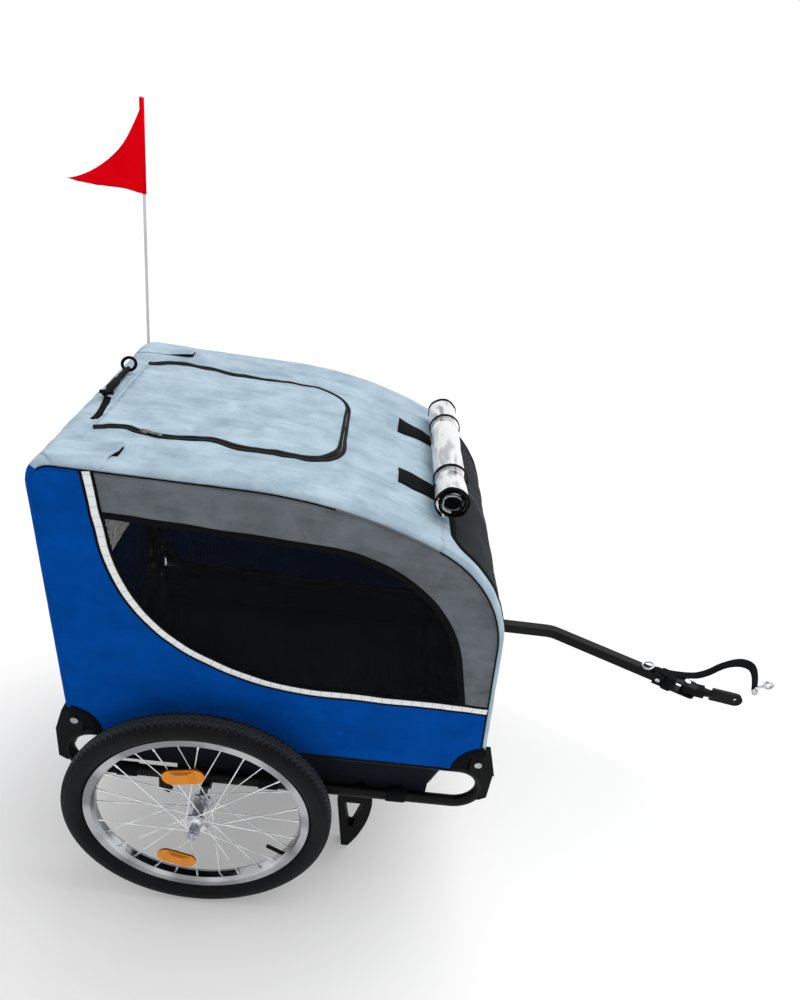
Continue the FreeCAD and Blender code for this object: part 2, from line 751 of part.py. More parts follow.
def tub_bands():
    # Webbing bands sewn under the tub and passed round the lower rails
    bands = []
    for x in BAND_XS:
        ends = (x - BAND_W / 2, x + BAND_W / 2)
        loop = rod(TUBE_R + BAND_T, V(ends[0], RAIL_Y, RAIL_LOW_Z), V(ends[1], RAIL_Y, RAIL_LOW_Z))
        tail = block(ends, (TUB_Y - TUB_T, TUB_Y), (RAIL_LOW_Z, TUB_LOW_Z))
        hole = rod(TUBE_R, V(ends[0], RAIL_Y, RAIL_LOW_Z), V(ends[1], RAIL_Y, RAIL_LOW_Z))
        band = loop.fuse(tail).cut(hole)
        bands.extend([band, mirrored(band)])
    return Part.makeCompound(bands)


# Cabin frame

def front_hoop_side():
    inset = HOOP_INSET
    top_z = ROOF_Z - inset
    nose_mid = (BROW_DEG + NOSE_DEG) / 2
    path = [(RAIL_END_X, top_z), (ROOF_FLAT_X, top_z)]
    path.append(on_arc(ROOF_C, ROOF_R - inset, BROW_DEG / 2) + on_arc(ROOF_C, ROOF_R - inset, BROW_DEG))
    path.append(on_arc(NOSE_C, NOSE_R - inset, nose_mid) + on_arc(NOSE_C, NOSE_R - inset, NOSE_DEG))
    path.append((HINGE_FRONT_X, HINGE_Z))
    points = []
    for step in path:
        if len(step) == 4:
            points.append((V(step[0], HOOP_Y, step[1]), V(step[2], HOOP_Y, step[3])))
        else:
            points.append(V(step[0], HOOP_Y, step[1]))
    tube = swept(edges_of(points), circle_wire(HOOP_R, points[0], V(1, 0, 0)))
    return knuckled(tube, HINGE_FRONT_X, HOOP_Y)


def knuckled(tube, x, y):
    # Rounded end of a hoop's leg, drilled for its hinge bolt
    knuckle_r = HOOP_R - KNUCKLE_STEP
    knuckle = rod(knuckle_r, V(x, y - knuckle_r, HINGE_Z), V(x, y + knuckle_r, HINGE_Z))
    hole = rod(BOLT_R + RUN_GAP, V(x, y - 2 * HOOP_R, HINGE_Z), V(x, y + 2 * HOOP_R, HINGE_Z))
    return tube.fuse(knuckle).cut(hole)


def brow_bar():
    x, z = on_arc(NOSE_C, NOSE_R - HOOP_INSET, BROW_BAR_DEG)
    bar = rod(BROW_R, V(x, -HOOP_Y, z), V(x, HOOP_Y, z))
    hoop = front_hoop_side()
    return bar.cut(hoop).cut(mirrored(hoop))


def rear_hoop():
    # Plain U of tube: legs at the rear hinges, top bar under the rounded roof edge
    top_x, top_z = on_arc(REAR_C, REAR_CORNER_R - HOOP_INSET, -45.0)
    foot = V(HINGE_REAR_X, REAR_HOOP_Y, HINGE_Z)
    up = V(top_x, REAR_HOOP_Y, top_z) - foot
    up_dir = V(up).normalize()
    turn = REAR_BEND_R
    side = V(0, -turn, 0)
    leg_top = foot + up - up_dir * turn
    bar_start = foot + up + side
    half_turn = leg_top + side + V(0, turn * math.sqrt(0.5), 0) + up_dir * turn * math.sqrt(0.5)
    points = [foot, leg_top, (half_turn, bar_start)]
    points.append(V(bar_start.x, -bar_start.y, bar_start.z))
    points.append((V(half_turn.x, -half_turn.y, half_turn.z), V(leg_top.x, -leg_top.y, leg_top.z)))
    points.append(V(foot.x, -foot.y, foot.z))
    tube = swept(edges_of(points), circle_wire(HOOP_R, foot, up_dir))
    tube = knuckled(tube, HINGE_REAR_X, REAR_HOOP_Y)
    return knuckled(tube, HINGE_REAR_X, -REAR_HOOP_Y)


# Cabin cover

def side_outline(inset):
    rear = cover_rear_point(inset)
    rear_top = (REAR_C[0], ROOF_Z - inset)
    rear_mid = on_arc(REAR_C, REAR_CORNER_R - inset, -45.0 - REAR_LEAN_DEG / 2)
    nose_mid = (BROW_DEG + NOSE_DEG) / 2
    return [
        (cover_rear_x(SIDE_LOW_Z, inset), SIDE_LOW_Z),
        rear,
        rear_mid + rear_top,
        (ROOF_FLAT_X, ROOF_Z - inset),
        on_arc(ROOF_C, ROOF_R - inset, BROW_DEG / 2) + on_arc(ROOF_C, ROOF_R - inset, BROW_DEG),
        on_arc(NOSE_C, NOSE_R - inset, nose_mid) + on_arc(NOSE_C, NOSE_R - inset, NOSE_DEG),
        (cover_front_x(SIDE_LOW_Z, inset), SIDE_LOW_Z),
    ]


def side_sheet(y_low, y_high):
    # Whole side of the cabin, with its lower corners rounded out for the brackets
    sheet = xz_slab(side_outline(COVER_T), y_low, y_high)
    for x in (cover_rear_x(SIDE_LOW_Z, 0), cover_front_x(SIDE_LOW_Z, 0)):
        sheet = sheet.cut(rod(CORNER_CUT_R, V(x, y_low - 1, SIDE_LOW_Z), V(x, y_high + 1, SIDE_LOW_Z)))
    return sheet


def below_piping(offset):
    # Prism of everything below and behind the piping's centre line, moved up by offset
    c1 = (PIPE_X, PIPE_Z + PIPE_R1)
    c2 = on_arc(c1, PIPE_R1 - PIPE_R2, 180.0 + PIPE_DEG1)
    r1 = PIPE_R1 - offset
    r2 = PIPE_R2 - offset
    mid2 = (PIPE_DEG1 + PIPE_DEG2) / 2
    end = on_arc(c2, r2, 180.0 + PIPE_DEG2)
    rise = ROOF_Z + COVER_Y - end[1]
    over = math.radians(90.0 - PIPE_DEG2)
    far = 3 * ROOF_Z
    return xz_slab(
        [(far, PIPE_Z + offset), (PIPE_X, PIPE_Z + offset),
         on_arc(c1, r1, 180.0 + PIPE_DEG1 / 2) + on_arc(c1, r1, 180.0 + PIPE_DEG1),
         on_arc(c2, r2, 180.0 + mid2) + end,
         (end[0] - rise * math.tan(over), end[1] + rise), (-far, end[1] + rise), (-far, 0), (far, 0)],
        0, 2 * COVER_Y,
    )


def window_prism():
    # Outline of the side window above the piping
    tilt = math.radians(WINDOW_TILT_DEG)
    centre = on_arc((WINDOW_X, WINDOW_Z), WINDOW_R, 180.0 + WINDOW_TILT_DEG)
    mid = (WINDOW_TILT_DEG + WINDOW_DEG) / 2
    end = on_arc(centre, WINDOW_R, WINDOW_DEG)
    low_z = SIDE_LOW_Z
    lean = math.radians(90.0 - WINDOW_DEG)
    far = ROOF_R
    return xz_slab(
        [(WINDOW_X - far, WINDOW_Z + far * math.tan(tilt)), (WINDOW_X, WINDOW_Z),
         on_arc(centre, WINDOW_R, mid) + end,
         (end[0] + (end[1] - low_z) * math.tan(lean), low_z), (WINDOW_X - far, low_z)],
        0, 2 * COVER_Y,
    )


def side_blue():
    return side_sheet(COVER_IN_Y, COVER_Y).common(below_piping(0.0))


def side_mesh():
    return side_sheet(COVER_IN_Y, COVER_Y).common(window_prism()).cut(below_piping(BINDING))


def side_grey():
    return side_sheet(COVER_IN_Y, COVER_Y).cut(below_piping(0.0)).cut(side_mesh())


def side_piping():
    strip = side_sheet(COVER_Y, COVER_Y + PIPE_T)
    strip = strip.common(below_piping(PIPE_W / 2)).cut(below_piping(-PIPE_W / 2))
    return Part.makeCompound([strip, mirrored(strip)])


def roof_sheet():
    outer_rear = cover_rear_point(0)
    inner_rear = cover_rear_point(COVER_T)
    lean_mid = -45.0 - REAR_LEAN_DEG / 2
    inner_r = ROOF_R - COVER_T
    return xz_slab(
        [outer_rear,
         on_arc(REAR_C, REAR_CORNER_R, lean_mid) + (REAR_C[0], ROOF_Z),
         (ROOF_FLAT_X, ROOF_Z),
         on_arc(ROOF_C, ROOF_R, BROW_DEG / 2) + on_arc(ROOF_C, ROOF_R, BROW_DEG),
         on_arc(ROOF_C, inner_r, BROW_DEG),
         on_arc(ROOF_C, inner_r, BROW_DEG / 2) + (ROOF_FLAT_X, ROOF_Z - COVER_T),
         (REAR_C[0], ROOF_Z - COVER_T),
         on_arc(REAR_C, REAR_CORNER_R - COVER_T, lean_mid) + inner_rear],
        -COVER_Y, COVER_Y,
    )


def hatch_prism(gap):
    # U-shaped hatch outline seen from above, drawn in by gap
    x0 = HATCH_REAR_X + gap
    x1 = HATCH_FRONT_X - gap
    y = HATCH_Y - gap
    r = HATCH_R
    k = r * (1 - math.sqrt(0.5))
    z = ROOF_Z - ROOF_R / 4
    points = [
        V(x0, -y, z),
        V(x1 - r, -y, z),
        (V(x1 - k, -y + k, z), V(x1, -y + r, z)),
        V(x1, y - r, z),
        (V(x1 - k, y - k, z), V(x1 - r, y, z)),
        V(x0, y, z),
        V(x0, -y, z),
    ]
    return Part.Face(Part.Wire(edges_of(points))).extrude(V(0, 0, ROOF_R / 2))


def roof_cover():
    roof = roof_sheet().cut(hatch_prism(0.0))
    flap = block(FLAP_X, FLAP_Y, (ROOF_Z - FLAP_T, ROOF_Z + FLAP_T))
    return roof.multiFuse([flap, mirrored(flap)])


def roof_hatch():
    return roof_sheet().common(hatch_prism(HATCH_GAP))


def front_sheet():
    nose_mid = (BROW_DEG + NOSE_DEG) / 2
    inner = NOSE_R - COVER_T
    sheet = xz_slab(
        [on_arc(NOSE_C, NOSE_R, BROW_DEG),
         on_arc(NOSE_C, NOSE_R, nose_mid) + on_arc(NOSE_C, NOSE_R, NOSE_DEG),
         (cover_front_x(COVER_LOW_Z, 0), COVER_LOW_Z),
         (cover_front_x(COVER_LOW_Z, COVER_T), COVER_LOW_Z),
         on_arc(NOSE_C, inner, NOSE_DEG),
         on_arc(NOSE_C, inner, nose_mid) + on_arc(NOSE_C, inner, BROW_DEG)],
        -COVER_Y, COVER_Y,
    )
    return cut_corners(sheet, FRONT_CORNER_Y)


def rear_sheet():
    sheet = xz_slab(
        [cover_rear_point(0), (cover_rear_x(COVER_LOW_Z, 0), COVER_LOW_Z),
         (cover_rear_x(COVER_LOW_Z, COVER_T), COVER_LOW_Z), cover_rear_point(COVER_T)],
        -COVER_Y, COVER_Y,
    )
    return cut_corners(sheet, REAR_CORNER_Y)


def cut_corners(sheet, corner_y):
    # Room for the corner brackets at the foot of an end panel
    far = 2 * ROOF_Z
    corner = block((-far, far), (corner_y, far), (0, CORNER_Z))
    return sheet.cut(corner).cut(mirrored(corner))


def front_window():
    face = rounded_prism(FRONT_WINDOW_Y, FRONT_WINDOW_Z, FRONT_WINDOW_Z + FRONT_WINDOW_H, WINDOW_CORNER_R)
    return face.extrude(V(ROOF_Z, 0, 0))


def rear_window():
    face = rounded_prism(REAR_WINDOW_Y, REAR_WINDOW_Z, REAR_WINDOW_Z + REAR_WINDOW_H, WINDOW_CORNER_R)
    return face.extrude(V(-ROOF_Z, 0, 0))


def roll_centre():
    stand = ROLL_STRAP_T + ROLL_R + SEAT_GAP + ROLL_STRAP_T
    return on_arc(ROOF_C, ROOF_R + stand, BROW_DEG)


def rain_roll():
    # Clear sheet rolled up: half-turn arcs about two centres half a pitch apart
    x, z = roll_centre()
    y = ROLL_Y[0]
    half = ROLL_PITCH / 4

    def half_turns(shift):
        steps = []
        for k in range(2 * ROLL_TURNS):
            radius = ROLL_R - shift - (k + 1) * ROLL_PITCH / 2 + ROLL_PITCH / 2
            way = 1 if k % 2 == 0 else -1
            centre = x + way * half - half
            left = V(centre - radius, y, z)
            right = V(centre + radius, y, z)
            steps.append((V(centre, y, z + way * radius), left, right, way))
        return steps

    outer = half_turns(0.0)
    inner = half_turns(ROLL_T)
    points = [outer[0][2]]
    for top, left, right, way in outer:
        points.append((top, left if way > 0 else right))
    last = inner[-1]
    points.append(last[2] if last[3] < 0 else last[1])
    for top, left, right, way in reversed(inner):
        points.append((top, right if way > 0 else left))
    points.append(points[0])
    face = Part.Face(Part.Wire(edges_of(points)))
    return face.extrude(V(0, ROLL_Y[1] - ROLL_Y[0], 0))


def roll_straps():
    # Elastic loops round the roll and the tabs that hold them on the roof
    x, z = roll_centre()
    inner = ROLL_R + SEAT_GAP
    pieces = []
    for y in ROLL_STRAP_YS:
        low = y - ROLL_STRAP_W / 2
        high = y + ROLL_STRAP_W / 2
        loop = flat_ring(V(x, y, z), V(0, 1, 0), inner, inner + ROLL_STRAP_T, ROLL_BAND_W)
        outer_r = ROOF_R + ROLL_STRAP_T
        mid = (TAB_DEG + BROW_DEG) / 2
        tab = xz_slab(
            [on_arc(ROOF_C, ROOF_R, TAB_DEG),
             on_arc(ROOF_C, ROOF_R, mid) + on_arc(ROOF_C, ROOF_R, BROW_DEG),
             on_arc(ROOF_C, outer_r, BROW_DEG),
             on_arc(ROOF_C, outer_r, mid) + on_arc(ROOF_C, outer_r, TAB_DEG)],
            low, high,
        )
        pieces.extend([loop, tab])
    return Part.makeCompound(pieces)


def lead():
    # Short webbing lead with a ring, a swivel body and a snap hook
    seat = ROOF_Z + SEAT_GAP
    start = V(REAR_C[0] + LEAD_START[0], LEAD_START[1], seat)
    end = V(REAR_C[0] + LEAD_END[0], LEAD_END[1], seat)
    along = V(end - start).normalize()
    across = V(-along.y, along.x, 0) * (LEAD_W / 2)
    corners = [start + across, end + across, end - across, start - across, start + across]
    webbing = Part.Face(Part.makePolygon(corners)).extrude(V(0, 0, LEAD_T))
    wire_z = seat + LEAD_WIRE_R
    ring_at = V(end.x, end.y + LEAD_RING_R - LEAD_WIRE_R, wire_z)
    up = V(0, 0, 1)
    ring = flat_ring(ring_at, up, LEAD_RING_R - LEAD_WIRE_R, LEAD_RING_R + LEAD_WIRE_R, 2 * LEAD_WIRE_R)
    body_end = V(ring_at.x, LEAD_SNAP_Y - LEAD_SNAP_R, seat + LEAD_BODY_R)
    body = Part.makeCone(
        LEAD_WIRE_R, LEAD_BODY_R, body_end.y - ring_at.y - LEAD_RING_R,
        V(ring_at.x, ring_at.y + LEAD_RING_R, seat + LEAD_BODY_R), V(0, 1, 0),
    )
    snap_at = V(ring_at.x, body_end.y + LEAD_SNAP_R, seat + LEAD_BODY_R)
    snap = flat_ring(snap_at, up, LEAD_SNAP_R - LEAD_WIRE_R, LEAD_SNAP_R + LEAD_WIRE_R, 2 * LEAD_WIRE_R)
    return webbing.multiFuse([ring, body, snap])


# Tow bar and hitch

def tow_bar():
    half = BAR_W / 2
    k = BAR_CORNER * (1 - math.sqrt(0.5))
    r = BAR_CORNER
    x = BAR_REAR_X
    y0 = BAR_Y - half
    y1 = BAR_Y + half
    z0 = BAR_Z - half
    z1 = BAR_Z + half
    section = Part.Wire(edges_of([
        V(x, y0 + r, z0), V(x, y1 - r, z0), (V(x, y1 - k, z0 + k), V(x, y1, z0 + r)),
        V(x, y1, z1 - r), (V(x, y1 - k, z1 - k), V(x, y1 - r, z1)),
        V(x, y0 + r, z1), (V(x, y0 + k, z1 - k), V(x, y0, z1 - r)),
        V(x, y0, z0 + r), (V(x, y0 + k, z0 + k), V(x, y0 + r, z0)),
    ]))
    turn = math.radians(BAR_DEG)
    tangent = BAR_BEND_R * math.tan(turn / 2)
    centre = V(BAR_BEND_X - tangent, BAR_Y - BAR_BEND_R, BAR_Z)
    mid = centre + V(math.sin(turn / 2), math.cos(turn / 2), 0) * BAR_BEND_R
    bend_end = centre + V(math.sin(turn), math.cos(turn), 0) * BAR_BEND_R
    path = edges_of([
        V(x, BAR_Y, BAR_Z), V(centre.x, BAR_Y, BAR_Z), (mid, bend_end), V(BAR_END[0], BAR_END[1], BAR_Z),
    ])
    return swept(path, section)


def tow_clamps():
    # Two saddles that hold the square bar beside the left lower rail, each with its bolt
    half = BAR_W / 2
    out = half + CLAMP_T
    pieces = []
    for x in CLAMP_XS:
        ends = (x - CLAMP_L / 2, x + CLAMP_L / 2)
        ring = rod(TUBE_R + CLAMP_T, V(ends[0], RAIL_Y, RAIL_LOW_Z), V(ends[1], RAIL_Y, RAIL_LOW_Z))
        box = block(ends, (BAR_Y - out, BAR_Y + out), (BAR_Z - out, BAR_Z + out))
        web = block(ends, (RAIL_Y, BAR_Y), (RAIL_LOW_Z - CLAMP_T, BAR_Z - half))
        rail = rod(TUBE_R, V(ends[0], RAIL_Y, RAIL_LOW_Z), V(ends[1], RAIL_Y, RAIL_LOW_Z))
        bar = block(ends, (BAR_Y - half, BAR_Y + half), (BAR_Z - half, BAR_Z + half))
        top = BAR_Z + out
        shank = rod(BOLT_R, V(x, BAR_Y, BAR_Z + half), V(x, BAR_Y, top))
        head = rod(BOLT_HEAD_R, V(x, BAR_Y, top), V(x, BAR_Y, top + BOLT_HEAD_T))
        pieces.append(ring.multiFuse([box, web]).cut(rail).cut(bar).cut(shank))
        pieces.append(shank.fuse(head))
    return Part.makeCompound(pieces)


def at_bar_end(shape):
    shape.rotate(V(0, 0, 0), V(0, 0, 1), -BAR_DEG)
    return shape.translated(V(BAR_END[0], BAR_END[1], BAR_Z))


def at_hitch_pivot(shape):
    shape.rotate(V(0, 0, 0), V(0, 0, 1), -BLOCK_DEG)
    return shape.translated(V(HITCH_PIVOT[0], HITCH_PIVOT[1], BAR_Z))


def hitch_yoke():
    half = BAR_W / 2
    wide = (-YOKE_W / 2, YOKE_W / 2)
    length = (-YOKE_BACK, YOKE_PIVOT + YOKE_REACH - YOKE_W / 2)
    plates = []
    for low in (half, -half - YOKE_T):
        plate = block(length, wide, (low, low + YOKE_T))
        nose = rod(YOKE_W / 2, V(length[1], 0, low), V(length[1], 0, low + YOKE_T))
        plates.append(plate.fuse(nose))
    web = block((0, YOKE_WEB), wide, (-half, half))
    hole = rod(PIN_R, V(YOKE_PIVOT, 0, -2 * half), V(YOKE_PIVOT, 0, 2 * half))
    return at_bar_end(web.multiFuse(plates).cut(hole))


def hitch_block():
    # Turns about the hitch pin; its bore takes the shank of the hitch plate
    half_h = BAR_W / 2 - YOKE_GAP
    half_w = BLOCK_W / 2
    body = block((0, BLOCK_L), (-half_w, half_w), (-half_h, half_h))
    tail = rod(half_w, V(0, 0, -half_h), V(0, 0, half_h))
    pin_hole = rod(PIN_R + RUN_GAP, V(0, 0, -BAR_W), V(0, 0, BAR_W))
    bore = rod(SHANK_R + RUN_GAP, V(SHANK_IN - SEAT_GAP, 0, 0), V(BLOCK_L + 1, 0, 0))
    return at_hitch_pivot(body.fuse(tail).cut(pin_hole).cut(bore))


def hitch_plate():
    # Shank, rubber boot and flat plate with the hole for the bicycle's rear axle
    boot_x = BLOCK_L + YOKE_GAP
    plate_x = boot_x + BOOT_L - 2
    half_h = PLATE_H / 2
    half_t = PLATE_T / 2
    shank = rod(SHANK_R, V(SHANK_IN, 0, 0), V(boot_x, 0, 0))
    boot = Part.makeCone(BOOT_R, BOOT_R * 0.8, BOOT_L, V(boot_x, 0, 0), V(1, 0, 0))
    blade = block((plate_x, AXLE_HOLE_L), (-half_t, half_t), (-half_h, half_h))
    nose = rod(half_h, V(AXLE_HOLE_L, -half_t, 0), V(AXLE_HOLE_L, half_t, 0))
    hole = rod(AXLE_HOLE_R, V(AXLE_HOLE_L, -PLATE_T, 0), V(AXLE_HOLE_L, PLATE_T, 0))
    return at_hitch_pivot(shank.multiFuse([boot, blade, nose]).cut(hole))


def hitch_pin():
    # Headed pin with a wire bail that snaps round its lower end
    top = BAR_W / 2 + YOKE_T
    head_top = top + PIN_HEAD_T
    tail_z = -top - PIN_TAIL
    pin = rod(PIN_R, V(0, 0, tail_z), V(0, 0, top))
    head = rod(PIN_HEAD_R, V(0, 0, top), V(0, 0, head_top))
    wire_z = (top + head_top) / 2
    low_z = tail_z + 2 * BAIL_R
    r = 4 * BAIL_R
    k = r * (1 - math.sqrt(0.5))
    path = edges_of([
        V(0, PIN_R, wire_z),
        V(0, BAIL_Y - r, wire_z),
        (V(0, BAIL_Y - k, wire_z - k), V(0, BAIL_Y, wire_z - r)),
        V(0, BAIL_Y, low_z + r),
        (V(0, BAIL_Y - k, low_z + k), V(0, BAIL_Y - r, low_z)),
        V(0, 0, low_z),
    ])
    bail = swept(path, circle_wire(BAIL_R, V(0, PIN_R, wire_z), V(0, 1, 0)))
    return at_bar_end(pin.multiFuse([head, bail]).translated(V(YOKE_PIVOT, 0, 0)))


def strap_frame():
    # Start of the safety strap on the yoke's top plate and the directions along and across it
    turn = math.radians(BAR_DEG)
    heading = math.radians(STRAP_DEG)
    z = BAR_Z + BAR_W / 2 + YOKE_T + STRAP_T / 2
    start = V(BAR_END[0] - STRAP_BACK * math.cos(turn), BAR_END[1] + STRAP_BACK * math.sin(turn), z)
    along = V(math.cos(heading), -math.sin(heading), 0)
    return start, along, V(-along.y, along.x, 0)


def strap_route():
    start, along, across = strap_frame()
    return [start + along * s + V(0, 0, rise) for s, rise in STRAP_POINTS]


def rounded_route(route):
    # Straight runs joined by arcs as large as the two runs allow
    points = [route[0]]
    for before, corner, after in zip(route, route[1:], route[2:]):
        back = V(before - corner)
        on = V(after - corner)
        cut = 0.45 * min(back.Length, on.Length)
        turn = math.pi - back.getAngle(on)
        radius = cut / math.tan(turn / 2)
        print("strap bend radius", round(radius, 1))
        back.normalize()
        on.normalize()
        inward = V(back + on).normalize()
        reach = math.hypot(radius, cut) - radius
        points.append(corner + back * cut)
        points.append((corner + inward * reach, corner + on * cut))
    points.append(route[-1])
    return points


def safety_strap():
    start, along, across = strap_frame()
    half = across * (STRAP_W / 2)
    up = V(0, 0, STRAP_T / 2)
    corners = [start + half + up, start - half + up, start - half - up, start + half - up, start + half + up]
    return swept(edges_of(rounded_route(strap_route())), Part.makePolygon(corners))


def snap_hook():
    # Swivel eye, stem and closed hook at the end of the strap
    start, along, across = strap_frame()
    end = strap_route()[-1]
    eye_at = end + along * (HOOK_WIRE_R + 1.1) - V(0, 0, HOOK_R * 0.8)
    eye = flat_ring(eye_at, along, HOOK_R - HOOK_WIRE_R, HOOK_R + HOOK_WIRE_R, 2 * HOOK_WIRE_R)
    stem_start = eye_at + V(0, 0, HOOK_R)
    stem_end = stem_start + along * 16 + V(0, 0, 10)
    stem = rod(HOOK_WIRE_R * 1.3, stem_start, stem_end)
    hook_at = stem_end + along * HOOK_R + V(0, 0, HOOK_R * 0.6)
    hook = flat_ring(hook_at, across, HOOK_R - HOOK_WIRE_R, HOOK_R + HOOK_WIRE_R, 2 * HOOK_WIRE_R)
    return eye.multiFuse([stem, hook])


# Flag

def flag_pole():
    return rod(POLE_R, V(POLE_X, POLE_Y, POLE_LOW_Z), V(POLE_X, POLE_Y, POLE_TOP_Z))


def flag():
    # Pennant with a soft wave and a concave upper edge, sewn to a sleeve on the pole
    inner = POLE_R + RUN_GAP
    outer = inner + FLAG_SLEEVE_T
    low = V(POLE_X, POLE_Y, FLAG_LOW_Z)
    high = V(POLE_X, POLE_Y, FLAG_TOP_Z)
    sleeve = rod(outer, low, high).cut(rod(inner, low, high))
    x0 = POLE_X - inner
    length = FLAG_L
    tip_x = x0 - FLAG_L
    tip_z = FLAG_LOW_Z + FLAG_TIP_RISE
    y = POLE_Y - FLAG_T / 2
    mid = V(x0 - length / 2, y, FLAG_LOW_Z)
    first = V(x0 - length / 4, y + FLAG_WAVE, FLAG_LOW_Z)
    second = V(x0 - length * 3 / 4, y - FLAG_WAVE, FLAG_LOW_Z)
    tip = V(tip_x, y, FLAG_LOW_Z)
    shift = V(0, FLAG_T, 0)
    ribbon = Part.Face(Part.Wire(edges_of([
        V(x0, y, FLAG_LOW_Z), (first, mid), (second, tip), tip + shift,
        (second + shift, mid + shift), (first + shift, V(x0, y, FLAG_LOW_Z) + shift), V(x0, y, FLAG_LOW_Z),
    ])))
    cloth = ribbon.extrude(V(0, 0, FLAG_H))
    outline = xz_slab(
        [(x0, FLAG_LOW_Z), (x0, FLAG_TOP_Z),
         (x0 - length * 0.42, FLAG_LOW_Z + FLAG_H * 0.36, tip_x, tip_z + FLAG_T),
         (tip_x, tip_z)],
        POLE_Y - 3 * FLAG_WAVE, POLE_Y + 3 * FLAG_WAVE,
    )
    return sleeve.fuse(cloth.common(outline))


def build():
    left_side = {
        "tyre": at_wheel(tyre()),
        "rim": at_wheel(rim()),
        "spokes": at_wheel(spokes()),
        "hub": at_wheel(hub()),
        "reflectors": at_wheel(reflectors()),
        "axle": at_wheel(axle()),
        "button": at_wheel(push_button()),
        "side_loop": side_loop_with_stay(),
        "front_bracket": front_bracket(),
        "foot": support_foot(),
        "front_hoop": front_hoop_side(),
        "side_blue": side_blue(),
        "side_grey": side_grey(),
        "side_mesh": side_mesh(),
    }
    nodes = {}
    for name, shape in left_side.items():
        nodes[name + "_left"] = shape
        nodes[name + "_right"] = mirrored(shape)
    nodes["rear_bracket_left"] = rear_bracket_with_socket()
    nodes["rear_bracket_right"] = mirrored(rear_bracket())
    nodes["axle_tube"] = axle_tube()
    nodes["stand_tube"] = coped_tube(STAND_X, RAIL_LOW_Z)
    nodes["cross_tubes"] = cross_tubes()
    nodes["hinge_bolts"] = hinge_bolts()
    nodes["floor_tub"] = floor_tub()
    nodes["floor_board"] = floor_board()
    nodes["tub_bands"] = tub_bands()
    nodes["brow_bar"] = brow_bar()
    nodes["rear_hoop"] = rear_hoop()
    nodes["roof_cover"] = roof_cover()
    nodes["roof_hatch"] = roof_hatch()
    nodes["front_cover"] = front_sheet().cut(front_window())
    nodes["front_mesh"] = front_sheet().common(front_window())
    nodes["rear_panel"] = rear_sheet().cut(rear_window())
    nodes["rear_mesh"] = rear_sheet().common(rear_window())
    nodes["side_piping"] = side_piping()
    nodes["rain_roll"] = rain_roll()
    nodes["roll_straps"] = roll_straps()
    nodes["lead"] = lead()
    nodes["tow_bar"] = tow_bar()
    nodes["tow_clamps"] = tow_clamps()
    nodes["hitch_yoke"] = hitch_yoke()
    nodes["hitch_block"] = hitch_block()
    nodes["hitch_plate"] = hitch_plate()
    nodes["hitch_pin"] = hitch_pin()
    nodes["safety_strap"] = safety_strap()
    nodes["snap_hook"] = snap_hook()
    nodes["flag_pole"] = flag_pole()
    nodes["flag"] = flag()
    return nodes


os.makedirs("parts", exist_ok=True)
trailer = build()
loose = ("safety_strap", "snap_hook")
boxes = [solid.optimalBoundingBox() for node, solid in trailer.items() if node not in loose]
x_mid = (min(box.XMin for box in boxes) + max(box.XMax for box in boxes)) / 2
for node, solid in trailer.items():
    solid.translated(V(-x_mid, 0, 0)).exportStep("parts/" + node + ".step")
    print(node, len(solid.Solids), round(solid.Volume), solid.isValid())
print("middle of the trailer ahead of the axle", round(x_mid, 4))
print("front hinges", round(HINGE_FRONT_X - x_mid, 4), "rear hinges", round(HINGE_REAR_X - x_mid, 4))
print("hitch pivot", round(HITCH_PIVOT[0] - x_mid, 4), round(HITCH_PIVOT[1], 4))
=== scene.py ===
import math

import bpy
import numpy as np
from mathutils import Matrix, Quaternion, Vector, noise
from mathutils.geometry import delaunay_2d_cdt


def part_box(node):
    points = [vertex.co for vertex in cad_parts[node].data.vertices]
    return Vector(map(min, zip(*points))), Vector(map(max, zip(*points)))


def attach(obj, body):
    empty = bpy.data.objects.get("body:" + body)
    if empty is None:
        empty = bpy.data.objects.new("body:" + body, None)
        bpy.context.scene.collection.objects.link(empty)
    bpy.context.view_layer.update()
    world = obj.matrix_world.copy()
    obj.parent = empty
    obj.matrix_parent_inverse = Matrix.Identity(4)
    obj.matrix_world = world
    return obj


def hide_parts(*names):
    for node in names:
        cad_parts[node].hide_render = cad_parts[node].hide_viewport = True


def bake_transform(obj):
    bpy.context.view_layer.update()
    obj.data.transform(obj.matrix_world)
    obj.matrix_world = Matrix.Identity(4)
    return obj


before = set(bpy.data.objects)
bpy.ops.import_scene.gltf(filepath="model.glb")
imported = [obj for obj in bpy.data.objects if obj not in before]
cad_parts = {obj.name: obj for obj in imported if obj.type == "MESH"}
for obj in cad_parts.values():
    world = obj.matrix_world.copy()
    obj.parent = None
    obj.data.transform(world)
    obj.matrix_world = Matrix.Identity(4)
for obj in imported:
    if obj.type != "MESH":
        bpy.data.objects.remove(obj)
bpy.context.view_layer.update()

mm = 0.001
sides = ((1, "left"), (-1, "right"))
roundSteps = range(0, 360, 20)   # degrees, for small rings
bandPitch = 0.314   # metres from band to band of a wave texture at scale 1

# Sizes are in millimetres: x ahead of the wheel axle, y to the left, z above the ground
tyreLow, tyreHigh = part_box("tyre_right")
axleX = (tyreLow[0] + tyreHigh[0]) / 2
axleZ = (tyreLow[2] + tyreHigh[2]) / 2 / mm


def at(x, y, z):
    return Vector((axleX + x * mm, y * mm, z * mm))


def smooth(value):
    value = min(max(value, 0.0), 1.0)
    return value * value * (3 - 2 * value)


def turned(radius, degrees):
    # cosine and sine parts of a radius at an angle
    angle = math.radians(degrees)
    return radius * math.cos(angle), radius * math.sin(angle)


# Colours and shader nodes

